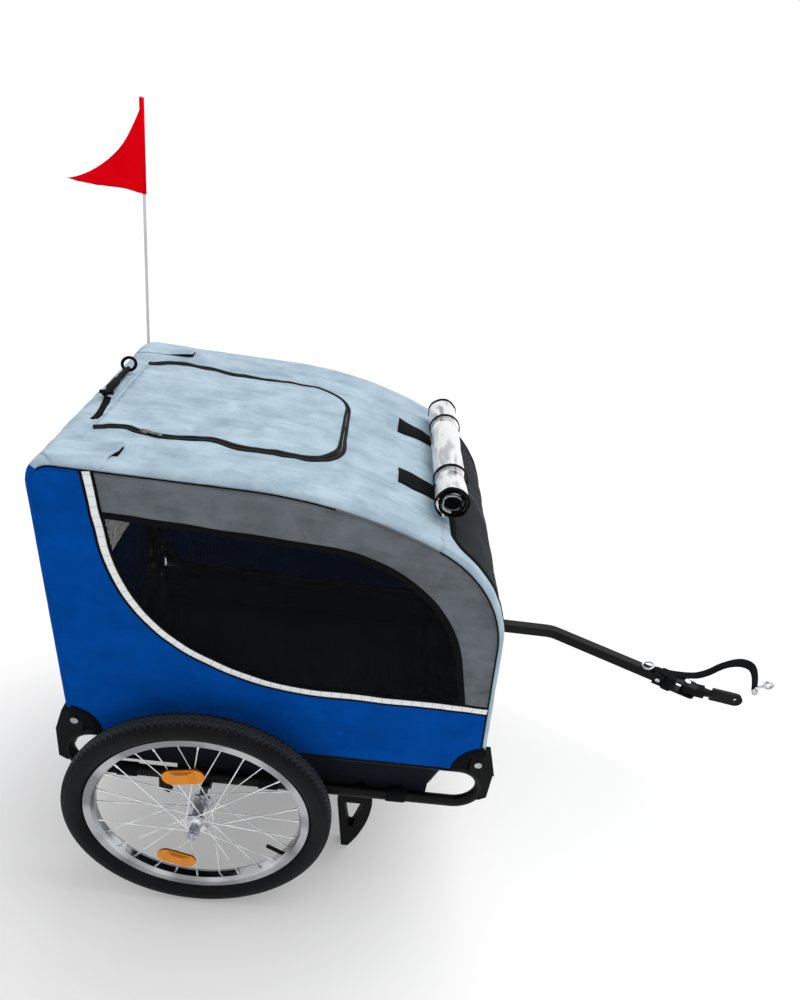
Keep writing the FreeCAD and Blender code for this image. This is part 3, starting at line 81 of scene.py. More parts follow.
def colour(hexCode):
    # sRGB hex to linear
    parts = [int(hexCode[i:i + 2], 16) / 255 for i in (1, 3, 5)]
    return [c / 12.92 if c <= 0.04045 else ((c + 0.055) / 1.055) ** 2.4 for c in parts] + [1.0]


def addNode(tree, kind, inputs=None, stops=None, **settings):
    # one node with its settings; an input that is a socket, or a node for its first output, is linked,
    # anything else is a value, and stops are a colour ramp's (place, hex) pairs
    node = tree.nodes.new("ShaderNode" + kind)
    for key, value in settings.items():
        setattr(node, key, value)
    for key, value in (inputs or {}).items():
        socket = node.inputs[key]
        if isinstance(value, bpy.types.Node):
            value = value.outputs[0]
        if isinstance(value, bpy.types.NodeSocket):
            tree.links.new(value, socket)
        else:
            socket.default_value = value
    if stops:
        band = node.color_ramp.elements
        while len(band) < len(stops):
            band.new(0.5)
        for element, (place, code) in zip(band, stops):
            element.position = place
            element.color = colour(code)
    return node


def newMaterial(name):
    material = bpy.data.materials.new(name)
    material.use_nodes = True
    material.node_tree.nodes.clear()
    return material, material.node_tree


slotOf = {}   # slot name for the pieces of each material


def makeMaterial(name, surface, *look, slot=None, **more):
    # a material whose shader takes the inputs that its surface gives
    material, tree = newMaterial(name)
    shader = addNode(tree, "BsdfPrincipled", surface(tree, *look, **more))
    addNode(tree, "OutputMaterial", {"Surface": shader})
    slotOf[material.name] = slot
    return material


def wovenCloth(tree, dark, light, thread, roughness, specular, crease=(95.0, 26.0, 2.2), crisp=0.0):
    # Coated polyester, plain weave: matt, with soft slanting creases from handling that are bumped and
    # painted darker and lighter as painted shade and light, and a random cloudy tone. The real thread spacing
    # is about 0.6 mm; it is drawn coarser so that it shows.
    place = addNode(tree, "UVMap", uv_map="cut")
    waves = []
    for way in ("X", "Y"):
        wave = addNode(tree, "TexWave", {"Vector": place, "Scale": bandPitch / (thread * mm),
                       "Distortion": 0.4, "Detail": 1.0}, bands_direction=way)
        waves.append(wave.outputs["Fac"])
    weave = addNode(tree, "Math", {0: waves[0], 1: waves[1]}, operation="MULTIPLY")
    length, width, depth = crease
    slant = addNode(tree, "Mapping", {"Vector": place, "Rotation": (0, 0, 0.55),
                    "Scale": (1 / (length * mm), 1 / (width * mm), 1.0)})
    folds = addNode(tree, "TexNoise", {"Vector": slant, "Scale": 1.0, "Detail": 2.5, "Roughness": 0.45,
                    "Distortion": 0.9})
    cloud = addNode(tree, "TexNoise", {"Vector": place, "Scale": 1 / (70 * mm), "Detail": 5.0,
                    "Roughness": 0.65})
    # painted shade and light: the crease noise makes the colour darker and lighter, with the random cloudy
    # tone
    creaseShadeAndCloud = addNode(tree, "Math", {0: folds, 1: 0.5, 2: cloud}, operation="MULTIPLY_ADD")
    mixed = addNode(tree, "Math", {0: weave, 1: 0.22, 2: creaseShadeAndCloud}, operation="MULTIPLY_ADD")
    # thin pressed creases where a long stretched noise crosses its middle level, broken up by the cloud; they
    # are bumped and painted paler as painted highlight lines
    pressed = addNode(tree, "TexNoise", {"Vector": slant, "Scale": 0.55, "Detail": 0.0, "Distortion": 0.3})
    level = addNode(tree, "Math", {0: pressed, 1: 0.5}, operation="SUBTRACT")
    near = addNode(tree, "Math", {0: level}, operation="ABSOLUTE")
    line = addNode(tree, "MapRange", {"Value": near, "From Min": 0.0, "From Max": 0.03, "To Min": 1.0,
                   "To Max": 0.0})
    patchy = addNode(tree, "MapRange", {"Value": cloud, "From Min": 0.48, "From Max": 0.6})
    ridge = addNode(tree, "Math", {0: line, 1: patchy}, operation="MULTIPLY")
    # the pressed creases' painted highlight lines are added to the tone
    toneWithCreaseLight = addNode(tree, "Math", {0: ridge, 1: crisp, 2: mixed}, operation="MULTIPLY_ADD")
    tint = addNode(tree, "ValToRGB", {"Fac": toneWithCreaseLight}, stops=[(0.5, dark), (1.0, light)])
    drape = addNode(tree, "Bump", {"Height": folds, "Strength": 1.0, "Distance": depth * mm})
    sharp = addNode(tree, "Bump", {"Height": ridge, "Strength": 1.0, "Distance": 6 * crisp * mm,
                    "Normal": drape})
    bump = addNode(tree, "Bump", {"Height": weave, "Strength": 0.25, "Distance": 0.4 * mm, "Normal": sharp})
    return {"Base Color": tint, "Roughness": roughness, "Specular IOR Level": specular, "Normal": bump}


def flyMesh(tree, dark, light, openShare):
    # Polyester fly mesh: dark threads with fine ribs, open holes. The real holes are about 1 mm wide
    # and are drawn 2.2 mm wide.
    place = addNode(tree, "UVMap", uv_map="cut")
    hole = 2.2 * mm
    bars = []
    for way in ("X", "Y"):
        wave = addNode(tree, "TexWave", {"Vector": place, "Scale": bandPitch / hole}, bands_direction=way)
        bars.append(wave.outputs["Fac"])
    threads = addNode(tree, "Math", {0: bars[0], 1: bars[1]}, operation="MAXIMUM")
    solid = addNode(tree, "MapRange", {"Value": threads, "From Min": 0.78, "From Max": 0.99,
                    "To Min": 1.0 - openShare, "To Max": 1.0})
    slack = addNode(tree, "TexNoise", {"Vector": place, "Scale": 1 / (110 * mm), "Detail": 2.0})
    shade = addNode(tree, "Math", {0: threads, 1: 0.5, 2: slack}, operation="MULTIPLY_ADD")
    tint = addNode(tree, "ValToRGB", {"Fac": shade}, stops=[(0.4, dark), (1.0, light)])
    return {"Base Color": tint, "Roughness": 0.8, "Specular IOR Level": 0.08, "Alpha": solid}


def ribbedTape(tree, dark, light, pitch, roughness, specular=0.04):
    # Woven polyester tape: fine cross ribs along its length, matt
    place = addNode(tree, "UVMap", uv_map="cut")
    wave = addNode(tree, "TexWave", {"Vector": place, "Scale": bandPitch / (pitch * mm), "Distortion": 0.6},
                   bands_direction="X")
    rib = wave.outputs["Fac"]
    tint = addNode(tree, "ValToRGB", {"Fac": rib}, stops=[(0.1, dark), (0.9, light)])
    bump = addNode(tree, "Bump", {"Height": rib, "Strength": 0.5, "Distance": 0.4 * mm})
    return {"Base Color": tint, "Roughness": roughness, "Specular IOR Level": specular, "Normal": bump}


def platedMetal(tree, dark, light, roughness, grain, patch):
    # Bright plated or polished metal: mirror-like, with painted reflections, darker and lighter patches of
    # colour that stand in for the room it shows, and faint polishing marks
    place = addNode(tree, "TexCoord").outputs["Object"]
    marks = addNode(tree, "TexNoise", {"Vector": place, "Scale": 1 / (grain * mm), "Detail": 5.0})
    gloss = addNode(tree, "MapRange", {"Value": marks, "From Min": 0.3, "From Max": 0.75,
                    "To Min": roughness * 0.7, "To Max": roughness * 1.8})
    # painted reflection: a large noise makes the colour darker and lighter in patches
    paintedReflection = addNode(tree, "TexNoise", {"Vector": place, "Scale": 1 / (patch * mm), "Detail": 1.5})
    tint = addNode(tree, "ValToRGB", {"Fac": paintedReflection}, stops=[(0.38, dark), (0.6, light)])
    return {"Base Color": tint, "Metallic": 1.0, "Roughness": gloss}


def mouldedPlastic(tree, dark, light, roughness, grain, specular=0.25, coat=0.0, relief=0.15):
    # Moulded or powder-coated skin: fine orange peel, and dust that lightens it a little in patches
    place = addNode(tree, "TexCoord").outputs["Object"]
    skin = addNode(tree, "TexNoise", {"Vector": place, "Scale": 1 / (grain * mm), "Detail": 3.0})
    dust = addNode(tree, "TexNoise", {"Vector": place, "Scale": 1 / (60 * mm), "Detail": 5.0})
    tint = addNode(tree, "ValToRGB", {"Fac": dust}, stops=[(0.35, dark), (0.75, light)])
    bump = addNode(tree, "Bump", {"Height": skin, "Strength": relief, "Distance": 0.3 * mm})
    return {"Base Color": tint, "Roughness": roughness, "Specular IOR Level": specular,
            "Coat Weight": coat, "Coat Roughness": 0.12, "Normal": bump}


def mouldedTyre(tree, grooveR, topR):
    # Vulcanised rubber: matt black walls; the tread blocks are scuffed grey and painted lighter on top as a
    # painted highlight, and black in the grooves as painted shade.
    # The cut map's second number is the distance from the axle.
    radius = addNode(tree, "SeparateXYZ", {"Vector": addNode(tree, "UVMap", uv_map="cut")})
    place = addNode(tree, "TexCoord").outputs["Object"]
    skin = addNode(tree, "TexNoise", {"Vector": place, "Scale": 1 / (0.9 * mm), "Detail": 3.0})
    dust = addNode(tree, "TexNoise", {"Vector": place, "Scale": 1 / (60 * mm), "Detail": 5.0})
    # painted highlight with scuffing on the tread tops and painted shade in the grooves, by distance from the
    # axle
    scuffAndHighlight = addNode(tree, "MapRange", {"Value": radius.outputs["Y"], "From Min": grooveR * mm,
                    "From Max": topR * mm, "To Min": 0.0, "To Max": 0.5})
    shade = addNode(tree, "Math", {0: dust, 1: 0.25, 2: scuffAndHighlight}, operation="MULTIPLY_ADD")
    tint = addNode(tree, "ValToRGB", {"Fac": shade},
                   stops=[(0.07, "#06080a"), (0.2, "#111416"), (0.66, "#363b3e")])
    bump = addNode(tree, "Bump", {"Height": skin, "Strength": 0.3, "Distance": 0.3 * mm})
    return {"Base Color": tint, "Roughness": 0.6, "Specular IOR Level": 0.11, "Normal": bump}


def reflectiveTape(tree, stitchPitch):
    # White reflective tape sewn on: bright, with a grey stitch across it at every pitch
    place = addNode(tree, "UVMap", uv_map="cut")
    wave = addNode(tree, "TexWave", {"Vector": place, "Scale": bandPitch / (stitchPitch * mm)},
                   bands_direction="X")
    stitch = wave.outputs["Fac"]
    tint = addNode(tree, "ValToRGB", {"Fac": stitch}, stops=[(0.90, "#fafbfc"), (0.995, "#dfe2e5")])
    bump = addNode(tree, "Bump", {"Height": stitch, "Strength": 0.3, "Distance": 0.4 * mm}, invert=True)
    return {"Base Color": tint, "Roughness": 0.35, "Normal": bump}


def amberLens(tree, prismSize):
    # Moulded acrylic reflector: glossy amber with a grid of small prisms behind the face
    place = addNode(tree, "TexCoord").outputs
    prism = addNode(tree, "TexVoronoi", {"Vector": place["Object"], "Scale": 1 / (prismSize * mm),
                    "Randomness": 0.0})
    # painted shade: faces that look straight out of the wheel's side are painted lighter and faces turned
    # away darker; the prism cells darken a little towards their edges
    facing = addNode(tree, "SeparateXYZ", {"Vector": place["Normal"]})
    flat = addNode(tree, "Math", {0: facing.outputs["Y"]}, operation="ABSOLUTE")
    shade = addNode(tree, "Math", {0: prism, 1: -0.12, 2: flat}, operation="MULTIPLY_ADD")
    tint = addNode(tree, "ValToRGB", {"Fac": shade},
                   stops=[(0.2, "#8a4a00"), (0.7, "#c87200"), (0.94, "#f0920a")])
    bump = addNode(tree, "Bump", {"Height": prism, "Strength": 0.2, "Distance": 0.5 * mm})
    return {"Base Color": tint, "Roughness": 0.25, "IOR": 1.49, "Specular IOR Level": 0.2,
            "Coat Weight": 0.1, "Coat Roughness": 0.05, "Normal": bump}


def clearVinyl(tree, creaseAndReflectionWidth, creaseAndReflectionLength):
    # Clear PVC sheet rolled in several layers: glossy, with painted reflections, silvery white with darker
    # grey patches, along a stretched noise that also bumps its creases
    place = addNode(tree, "UVMap", uv_map="cut")
    along = addNode(tree, "Mapping", {"Vector": place, "Rotation": (0, 0, 0.05),
                    "Scale": (1 / (creaseAndReflectionWidth * mm), 1 / (creaseAndReflectionLength * mm), 1.0)})
    crease = addNode(tree, "TexNoise", {"Vector": along, "Scale": 1.0, "Detail": 1.0, "Distortion": 0.5})
    # painted reflection: the crease noise paints the silvery white and grey patches
    tint = addNode(tree, "ValToRGB", {"Fac": crease}, stops=[
        (0.30, "#565d61"), (0.38, "#cdd3d6"), (0.45, "#fbfdfd"),
        (0.60, "#f8fafb"), (0.66, "#c0c6c9"), (0.76, "#7b8387")])
    bump = addNode(tree, "Bump", {"Height": crease, "Strength": 0.7, "Distance": 3 * mm})
    return {"Base Color": tint, "Roughness": 0.08, "IOR": 1.53, "Transmission Weight": 0.12,
            "Coat Weight": 1.0, "Coat Roughness": 0.03, "Normal": bump}


roofPolyester = makeMaterial("roof_polyester", wovenCloth, "#93a9b8", "#c0d5e3", 1.8, 0.8, 0.12,
                             crease=(120.0, 30.0, 5.0), crisp=0.3, slot="roof_cloth")
greyPolyester = makeMaterial("grey_polyester", wovenCloth, "#545a5e", "#757c82", 1.8, 0.85, 0.08,
                             crease=(110.0, 30.0, 5.0), crisp=0.2, slot="grey_cloth")
bluePolyester = makeMaterial("blue_polyester", wovenCloth, "#004495", "#0050ae", 1.8, 0.8, 0.02,
                             crease=(150.0, 45.0, 2.5), crisp=0.15, slot="blue_cloth")
navyPolyester = makeMaterial("navy_polyester", wovenCloth, "#05070c", "#0f1420", 1.8, 0.75, 0.12,
                             slot="tub_cloth")
redTaffeta = makeMaterial("red_taffeta", wovenCloth, "#f00010", "#ff0016", 1.4, 0.75, 0.02,
                          crease=(60.0, 16.0, 1.5), slot="red_cloth")
blackFlyMesh = makeMaterial("black_fly_mesh", flyMesh, "#030405", "#0b0e10", 0.93, slot="black_mesh")
# a lighter copy of the black fly mesh for the front screen: painted sky light and sheen on its threads
frontLitFlyMesh = makeMaterial("charcoal_fly_mesh", flyMesh, "#171b1d", "#2b3134", 0.26, slot="black_mesh")
blackBinding = makeMaterial("black_binding", ribbedTape, "#08090a", "#16191b", 1.6, 0.85,
                            slot="black_webbing")
blackWebbing = makeMaterial("black_webbing", ribbedTape, "#08090a", "#1c1e20", 2.0, 0.75,
                            slot="black_webbing")
zipCoil = makeMaterial("nylon_zip", ribbedTape, "#040505", "#1d2022", 2.4, 0.6, 0.08, slot="black_webbing")
whiteReflective = makeMaterial("white_reflective_tape", reflectiveTape, 18.0, slot="white_piping")
chromedSteel = makeMaterial("chromed_steel", platedMetal, "#878b8e", "#b9bdc0", 0.12, 14.0, 80.0)
hubAlloy = makeMaterial("satin_alloy", platedMetal, "#a9acb0", "#e0e3e6", 0.28, 10.0, 14.0)
gunMetal = makeMaterial("gunmetal_zinc", platedMetal, "#55585b", "#7a7d80", 0.32, 5.0, 7.0, slot="axle_steel")
zincSteel = makeMaterial("zinc_plated_steel", platedMetal, "#96999d", "#cdd0d4", 0.26, 6.0, 9.0,
                         slot="axle_steel")
spokeWire = makeMaterial("stainless_wire", platedMetal, "#d4d7d9", "#f4f6f7", 0.45, 8.0, 40.0,
                         slot="spoke_steel")
powderCoat = makeMaterial("black_powder_coat", mouldedPlastic, "#060607", "#101112", 0.4, 1.2,
                          specular=0.1, coat=0.04)
blackNylon = makeMaterial("moulded_black_nylon", mouldedPlastic, "#070808", "#101213", 0.6, 0.8,
                          specular=0.08, relief=0.25, slot="black_webbing")
tyreRubber = makeMaterial("tyre_rubber", mouldedPlastic, "#06080a", "#111416", 0.6, 0.9,
                          specular=0.11, relief=0.3, slot="tyre_rubber")
treadRubber = makeMaterial("tread_rubber", mouldedTyre, 245.5, 249.8, slot="tyre_rubber")
boardPlastic = makeMaterial("corrugated_polypropylene", mouldedPlastic, "#101214", "#1b1e20", 0.6, 3.0)
whiteFibre = makeMaterial("white_glass_fibre", mouldedPlastic, "#dcdad6", "#eceae6", 0.4, 1.0, relief=0.05)
amberAcrylic = makeMaterial("amber_acrylic", amberLens, 4.0)
clearPvc = makeMaterial("clear_pvc", clearVinyl, 26.0, 90.0, slot="clear_sheet")
print("materials made")

# Every node of the frame that keeps its own shape
finishOf = {
    "rim": chromedSteel, "hub": hubAlloy, "spokes": spokeWire, "reflectors": amberAcrylic, "axle": zincSteel,
    "button": zincSteel, "hinge_bolts": zincSteel, "hitch_pin": zincSteel, "snap_hook": zincSteel,
    "side_loop": powderCoat, "axle_tube": powderCoat, "stand_tube": powderCoat, "cross_tubes": powderCoat,
    "front_hoop": powderCoat, "brow_bar": powderCoat, "rear_hoop": powderCoat, "tow_bar": powderCoat,
    "front_bracket": blackNylon, "rear_bracket": blackNylon, "foot": blackNylon, "tow_clamps": blackNylon,
    "hitch_yoke": powderCoat, "hitch_block": blackNylon, "hitch_plate": powderCoat,
    "floor_board": boardPlastic, "flag_pole": whiteFibre,
}
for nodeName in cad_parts:
    plainName = nodeName.replace("_left", "").replace("_right", "")
    if plainName in finishOf:
        nodeMesh = bpy.data.objects[nodeName].data
        nodeMesh.materials.clear()
        nodeMesh.materials.append(finishOf[plainName])

# Camera at the photograph's angle
cameraSet = {"x": 206.1, "y": -1206.3, "z": 1490.5, "yaw": 85.44, "pitch": 29.88, "roll": -9.55,
             "focalPixels": 729.9, "longSidePixels": 1000, "sensor": 36.0}


def makeCamera(style):
    yaw, pitch, roll = (math.radians(style[key]) for key in ("yaw", "pitch", "roll"))
    forward = Vector((math.cos(pitch) * math.cos(yaw), math.cos(pitch) * math.sin(yaw), -math.sin(pitch)))
    right = forward.cross(Vector((0, 0, 1))).normalized()
    down = forward.cross(right)
    tiltedRight = right * math.cos(roll) + down * math.sin(roll)
    tiltedDown = down * math.cos(roll) - right * math.sin(roll)
    data = bpy.data.cameras.new("camera")
    data.sensor_width = style["sensor"]
    data.lens = style["sensor"] * style["focalPixels"] / style["longSidePixels"]
    camera = bpy.data.objects.new("camera", data)
    bpy.context.scene.collection.objects.link(camera)
    matrix = camera.matrix_world.copy()
    for row in range(3):
        matrix[row][0] = tiltedRight[row]
        matrix[row][1] = -tiltedDown[row]
        matrix[row][2] = -forward[row]
        matrix[row][3] = at(style["x"], style["y"], style["z"])[row]
    camera.matrix_world = matrix
    bpy.context.scene.camera = camera


makeCamera(cameraSet)

# Two heights of the cover, in metres, one on the chassis and one on the front hoop; the cover's pieces are
# kept fixed and not split between the two
coverFold = {"start": (0, 0, 0.40), "end": (0, 0, 0.86)}


def settle(piece, carrier, node=None, slot=None):
    # hides the CAD node that a piece stands for and hangs the piece on the body that carries it; a piece
    # carried by the cover is only fixed where it stands, and the slot of its finish is looked up but not kept
    if node:
        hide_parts(node)
    slot or slotOf[piece.data.materials[0].name]
    if carrier == "cover":
        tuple(coverFold["start"])
        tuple(coverFold["end"])
        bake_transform(piece)
    else:
        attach(piece, carrier)


# Mesh helpers

def newPiece(name, points, faces, material):
    mesh = bpy.data.meshes.new(name)
    mesh.from_pydata([tuple(p) for p in points], [], faces)
    mesh.materials.append(material)
    mesh.polygons.foreach_set("use_smooth", [True] * len(mesh.polygons))
    mesh.update()
    piece = bpy.data.objects.new(name, mesh)
    bpy.context.scene.collection.objects.link(piece)
    return piece


def rowFaces(rows, ring, loop=False, wrap=True):
    # faces between rows of points; loop joins the last row to the first, wrap a row's end to its start
    faces = []
    for k in range(rows if loop else rows - 1):
        here, there = k * ring, (k + 1) % rows * ring
        for j in range(ring if wrap else ring - 1):
            after = (j + 1) % ring
            faces.append((here + j, here + after, there + after, there + j))
    return faces


def endCaps(rows, ring):
    return [tuple(range(ring))[::-1], tuple((rows - 1) * ring + j for j in range(ring))]


def setCutMap(piece, spots):
    # map of the flat cut in metres, for weaves and ribs
    layer = piece.data.uv_layers.new(name="cut")
    loops = np.empty(len(piece.data.loops), dtype=np.int32)
    piece.data.loops.foreach_get("vertex_index", loops)
    layer.data.foreach_set("uv", (np.asarray(spots, dtype=np.float32) * mm)[loops].ravel())


def thicken(piece, thickness, offset=-1.0):
    solidify = piece.modifiers.new("thickness", "SOLIDIFY")
    solidify.thickness = thickness * mm
    solidify.offset = offset
    graph = bpy.context.evaluated_depsgraph_get()
    mesh = bpy.data.meshes.new_from_object(piece.evaluated_get(graph))
    piece.modifiers.clear()
    piece.data = mesh


def resample(line, step, closed=True):
    # even points along a line of (u, v), its own corners kept
    points = []
    ends = list(line) + [line[0]] if closed else list(line)
    for (u0, v0), (u1, v1) in zip(ends, ends[1:]):
        count = max(1, round(math.dist((u0, v0), (u1, v1)) / step))
        for k in range(count):
            points.append((u0 + (u1 - u0) * k / count, v0 + (v1 - v0) * k / count))
    return points if closed else points + [ends[-1]]


def roundedRectangle(low, high, halfWidth, corner, step, inset=0.0):
    # outline with round corners, all of it drawn in by inset
    points = []
    for u, v, start in ((high - corner, halfWidth - corner, 0), (low + corner, halfWidth - corner, 90),
                        (low + corner, corner - halfWidth, 180), (high - corner, corner - halfWidth, 270)):
        for a in range(0, 91, step):
            du, dv = turned(corner - inset, start + a)
            points.append((u + du, v + dv))
    return points


def within(spots, polygon):
    # even-odd test of many points at once
    x, y = spots[:, 0], spots[:, 1]
    inside = np.zeros(len(spots), dtype=bool)
    for (x0, y0), (x1, y1) in zip(polygon, polygon[1:] + polygon[:1]):
        if y0 != y1:
            crossing = (y0 > y) != (y1 > y)
            inside ^= crossing & (x < (x1 - x0) * (y - y0) / (y1 - y0) + x0)
    return inside


def inCut(spots, rings):
    # inside the first ring and outside the holes
    keep = within(spots, rings[0])
    for ring in rings[1:]:
        keep &= ~within(spots, ring)
    return keep


def nearestEdge(spots, rings):
    # taken in blocks, to keep the table of distances small
    edge = np.array([p for ring in rings for p in ring])
    block = 500
    gaps = []
    for k in range(0, len(spots), block):
        gaps.append(np.sqrt(((spots[k:k + block, None] - edge[None]) ** 2).sum(2)).min(1))
    return np.concatenate(gaps) if gaps else np.zeros(0)


def clothPanel(name, outline, surface, material, cell, thickness, carrier, node=None,
               holes=()):
    # cut cloth: a fine triangle net over a flat outline, laid on its surface and given a thickness
    rings = [resample(line, cell) for line in [outline, *holes]]
    low = np.min(rings[0], axis=0)
    high = np.max(rings[0], axis=0)
    rows = np.arange(low[1] + cell, high[1], cell * 0.87)
    columns = np.arange(low[0], high[0], cell)
    spots = np.array([(x + (cell / 2 if k % 2 else 0), y) for k, y in enumerate(rows) for x in columns])
    keep = inCut(spots, rings) & (nearestEdge(spots, rings) > 0.6 * cell)
    points = [p for ring in rings for p in ring]
    edges = []
    start = 0
    for ring in rings:
        edges += [(start + k, start + (k + 1) % len(ring)) for k in range(len(ring))]
        start += len(ring)
    points += [tuple(p) for p in spots[keep]]
    net = delaunay_2d_cdt([Vector(p) for p in points], edges, [], 0, 1e-5)
    flat = np.array([tuple(p) for p in net[0]])
    faces = np.array([f for f in net[2] if len(f) == 3])
    faces = faces[inCut(flat[faces].mean(axis=1), rings)]
    used = np.unique(faces)
    order = np.full(len(flat), -1)
    order[used] = np.arange(len(used))
    flat = flat[used]
    faces = order[faces]
    placed = [surface(u, v, 0.0) for u, v in flat]
    # faces turned so that they look outward
    first = [Vector(placed[i]) for i in faces[0]]
    u, v = flat[faces[0]].mean(axis=0)
    out = surface(u, v, 1.0) - surface(u, v, 0.0)
    if (first[1] - first[0]).cross(first[2] - first[0]).dot(out) < 0:
        faces = faces[:, ::-1]
    piece = newPiece(name, placed, faces.tolist(), material)
    setCutMap(piece, flat)
    thicken(piece, thickness)
    settle(piece, carrier, node)


# section of a tape, in shares of its width and of its height
tapeSection = [(-0.5, -0.6), (-0.5, 0.45), (-0.36, 0.92), (0.0, 1.0), (0.36, 0.92), (0.5, 0.45), (0.5, -0.6)]


def tape(name, line, surface, width, height, material, carrier, node=None, slot=None, closed=False, step=7.0,
         lift=0.2, shift=0.0):
    # sewn tape with rounded edges that follows a line on a surface; its width may be a function of the
    # distance along it, and shift moves it across its line by a share of that width
    path = resample(line, step, closed)
    count = len(path)
    points = []
    spots = []
    run = 0.0
    for k, (u, v) in enumerate(path):
        before = path[k - 1] if k or closed else path[k]
        after = path[(k + 1) % count] if k + 1 < count or closed else path[k]
        du, dv = after[0] - before[0], after[1] - before[1]
        size = math.hypot(du, dv)
        if k:
            run += math.dist(path[k - 1], path[k])
        for across, up in tapeSection:
            side = (across + shift) * (width(run) if callable(width) else width)
            points.append(surface(u - dv / size * side, v + du / size * side, lift + up * height))
            spots.append((run, side))
    ring = len(tapeSection)
    faces = rowFaces(count, ring, loop=closed)
    if not closed:
        faces += endCaps(count, ring)
    piece = newPiece(name, points, faces, material)
    u, v = path[count // 2]
    out = surface(u, v, 1.0) - surface(u, v, 0.0)
    crown = count // 2 * ring + ring // 2
    if piece.data.vertices[crown].normal.dot(out) < 0:
        piece.data.flip_normals()
    setCutMap(piece, spots)
    settle(piece, carrier, node, slot)


def lathe(name, profile, centre, material, turns, shape=None):
    # closed ring of (radius, y) turned about a wheel's axle; shape adds to the radius
    points = []
    for k in range(turns):
        angle = 2 * math.pi * k / turns
        for radius, y in profile:
            r = radius + (shape(angle, radius, y) if shape else 0.0)
            points.append(at(centre[0] + r * math.sin(angle), centre[1] + y, centre[2] + r * math.cos(angle)))
    faces = [(a, d, c, b) for a, b, c, d in rowFaces(turns, len(profile), loop=True)]
    return newPiece(name, points, faces, material)


def wire(name, points, radius, material, carrier=None, closed=False, straight=False, roundness=3):
    # round wire or rod along points, left alone if nothing carries it
    data = bpy.data.curves.new(name, "CURVE")
    data.dimensions = "3D"
    data.bevel_depth = radius * mm
    data.bevel_resolution = roundness
    data.use_fill_caps = True
    spline = data.splines.new("POLY" if straight else "NURBS")
    spline.points.add(len(points) - 1)
    for spot, point in zip(spline.points, points):
        spot.co = (*point, 1.0)
    spline.use_cyclic_u = closed
    if not straight:
        spline.order_u = 3
        spline.use_endpoint_u = not closed
    data.materials.append(material)
    piece = bpy.data.objects.new(name, data)
    bpy.context.scene.collection.objects.link(piece)
    if carrier:
        settle(piece, carrier)
    return piece


# The safety strap of webbing beside the hitch
strap = {"exit": (1030.719, 146.205, 318.5), "heading": 6.2, "width": 22.0, "thickness": 2.0, "edge": 1.2,
         "twist": 55.0, "twistFrom": 0.5, "twistRun": 0.35,
         "points": [(0, 0), (66, 0), (102, 20), (130, 56), (172, 76), (210, 58), (226, 2)]}


def makeStrap(style):
    heading = math.radians(style["heading"])
    along = Vector((math.cos(heading), -math.sin(heading), 0))
    across = Vector((-along.y, along.x, 0))
    start = at(*style["exit"])
    route = [start + along * s * mm + Vector((0, 0, rise * mm)) for s, rise in style["points"]]
    line = wire("strap_line", route, 0.0, blackWebbing)
    line.data.resolution_u = 16
    graph = bpy.context.evaluated_depsgraph_get()
    path = [v.co.copy() for v in bpy.data.meshes.new_from_object(line.evaluated_get(graph)).vertices]
    bpy.data.objects.remove(line)
    half, thin = style["width"] / 2, style["thickness"] / 2
    flat, edge = half - style["edge"], thin * 0.4
    section = [(-half, -edge), (-half, edge), (-flat, thin), (flat, thin),
               (half, edge), (half, -edge), (flat, -thin), (-flat, -thin)]
    points = []
    spots = []
    run = 0.0
    for k, point in enumerate(path):
        tangent = (path[min(k + 1, len(path) - 1)] - path[max(k - 1, 0)]).normalized()
        share = smooth((k / len(path) - style["twistFrom"]) / style["twistRun"])
        wide = Quaternion(tangent, math.radians(style["twist"]) * share) @ across
        up = wide.cross(tangent)
        if k:
            run += (point - path[k - 1]).length / mm
        for side, lift in section:
            points.append(point + wide * side * mm + up * lift * mm)
            spots.append((run, side))
    faces = rowFaces(len(path), len(section)) + endCaps(len(path), len(section))
    piece = newPiece("safety_strap_webbing", points, faces, blackWebbing)
    setCutMap(piece, spots)
    settle(piece, "chassis", "safety_strap")
    tuple(path[0])
    [tuple(p) for p in path]


makeStrap(strap)

# The strap's tail on the tow bar: a slotted ring, the run along the bar's top, and turns round the yoke
tail = {"end": (1055.67, 133.49, 300.0), "heading": 27.0, "barHalf": 12.5, "barCorner": 6.0, "width": 22.0,
        "run": (-58.0, -8.0), "arch": 5.0, "turns": (-24.0, 0.0), "turnCount": 1.45, "turnLift": 5.4,
        "ring": -66.0, "ringSize": (13, 15), "ringSeat": 6.5, "ringTilt": 4, "ringWire": 2.4,
        "bolt": -34.0, "boltOut": (-1.0, 2.0, 5.0), "boltR": 5.5}


def onBar(along, across, up):
    # place beside the tow bar's last run, measured from its front end
    heading = math.radians(tail["heading"])
    x, y, z = tail["end"]
    return at(x + along * math.cos(heading) + across * math.sin(heading),
              y - along * math.sin(heading) + across * math.cos(heading), z + up)


def barTop(u, v, lift):
    start, end = tail["run"]
    arch = tail["arch"] * math.sin(math.pi * (u - start) / (end - start))
    return onBar(u, v, tail["barHalf"] + 1.0 + arch + lift)


def barRound(u, v, lift):
    # u runs round the bar's four rounded corners, v along the bar
    half = tail["barHalf"] + tail["turnLift"] + lift
    corner = tail["barCorner"]
    flat = half - corner
    side = 2 * flat + corner * math.pi / 2
    k, rest = divmod(u, side)
    if rest < 2 * flat:
        across, up = -flat + rest, half
    else:
        a = (rest - 2 * flat) / corner
        across, up = flat + corner * math.sin(a), flat + corner * math.cos(a)
    for turn in range(int(k) % 4):
        across, up = up, -across
    return onBar(v, across, up)


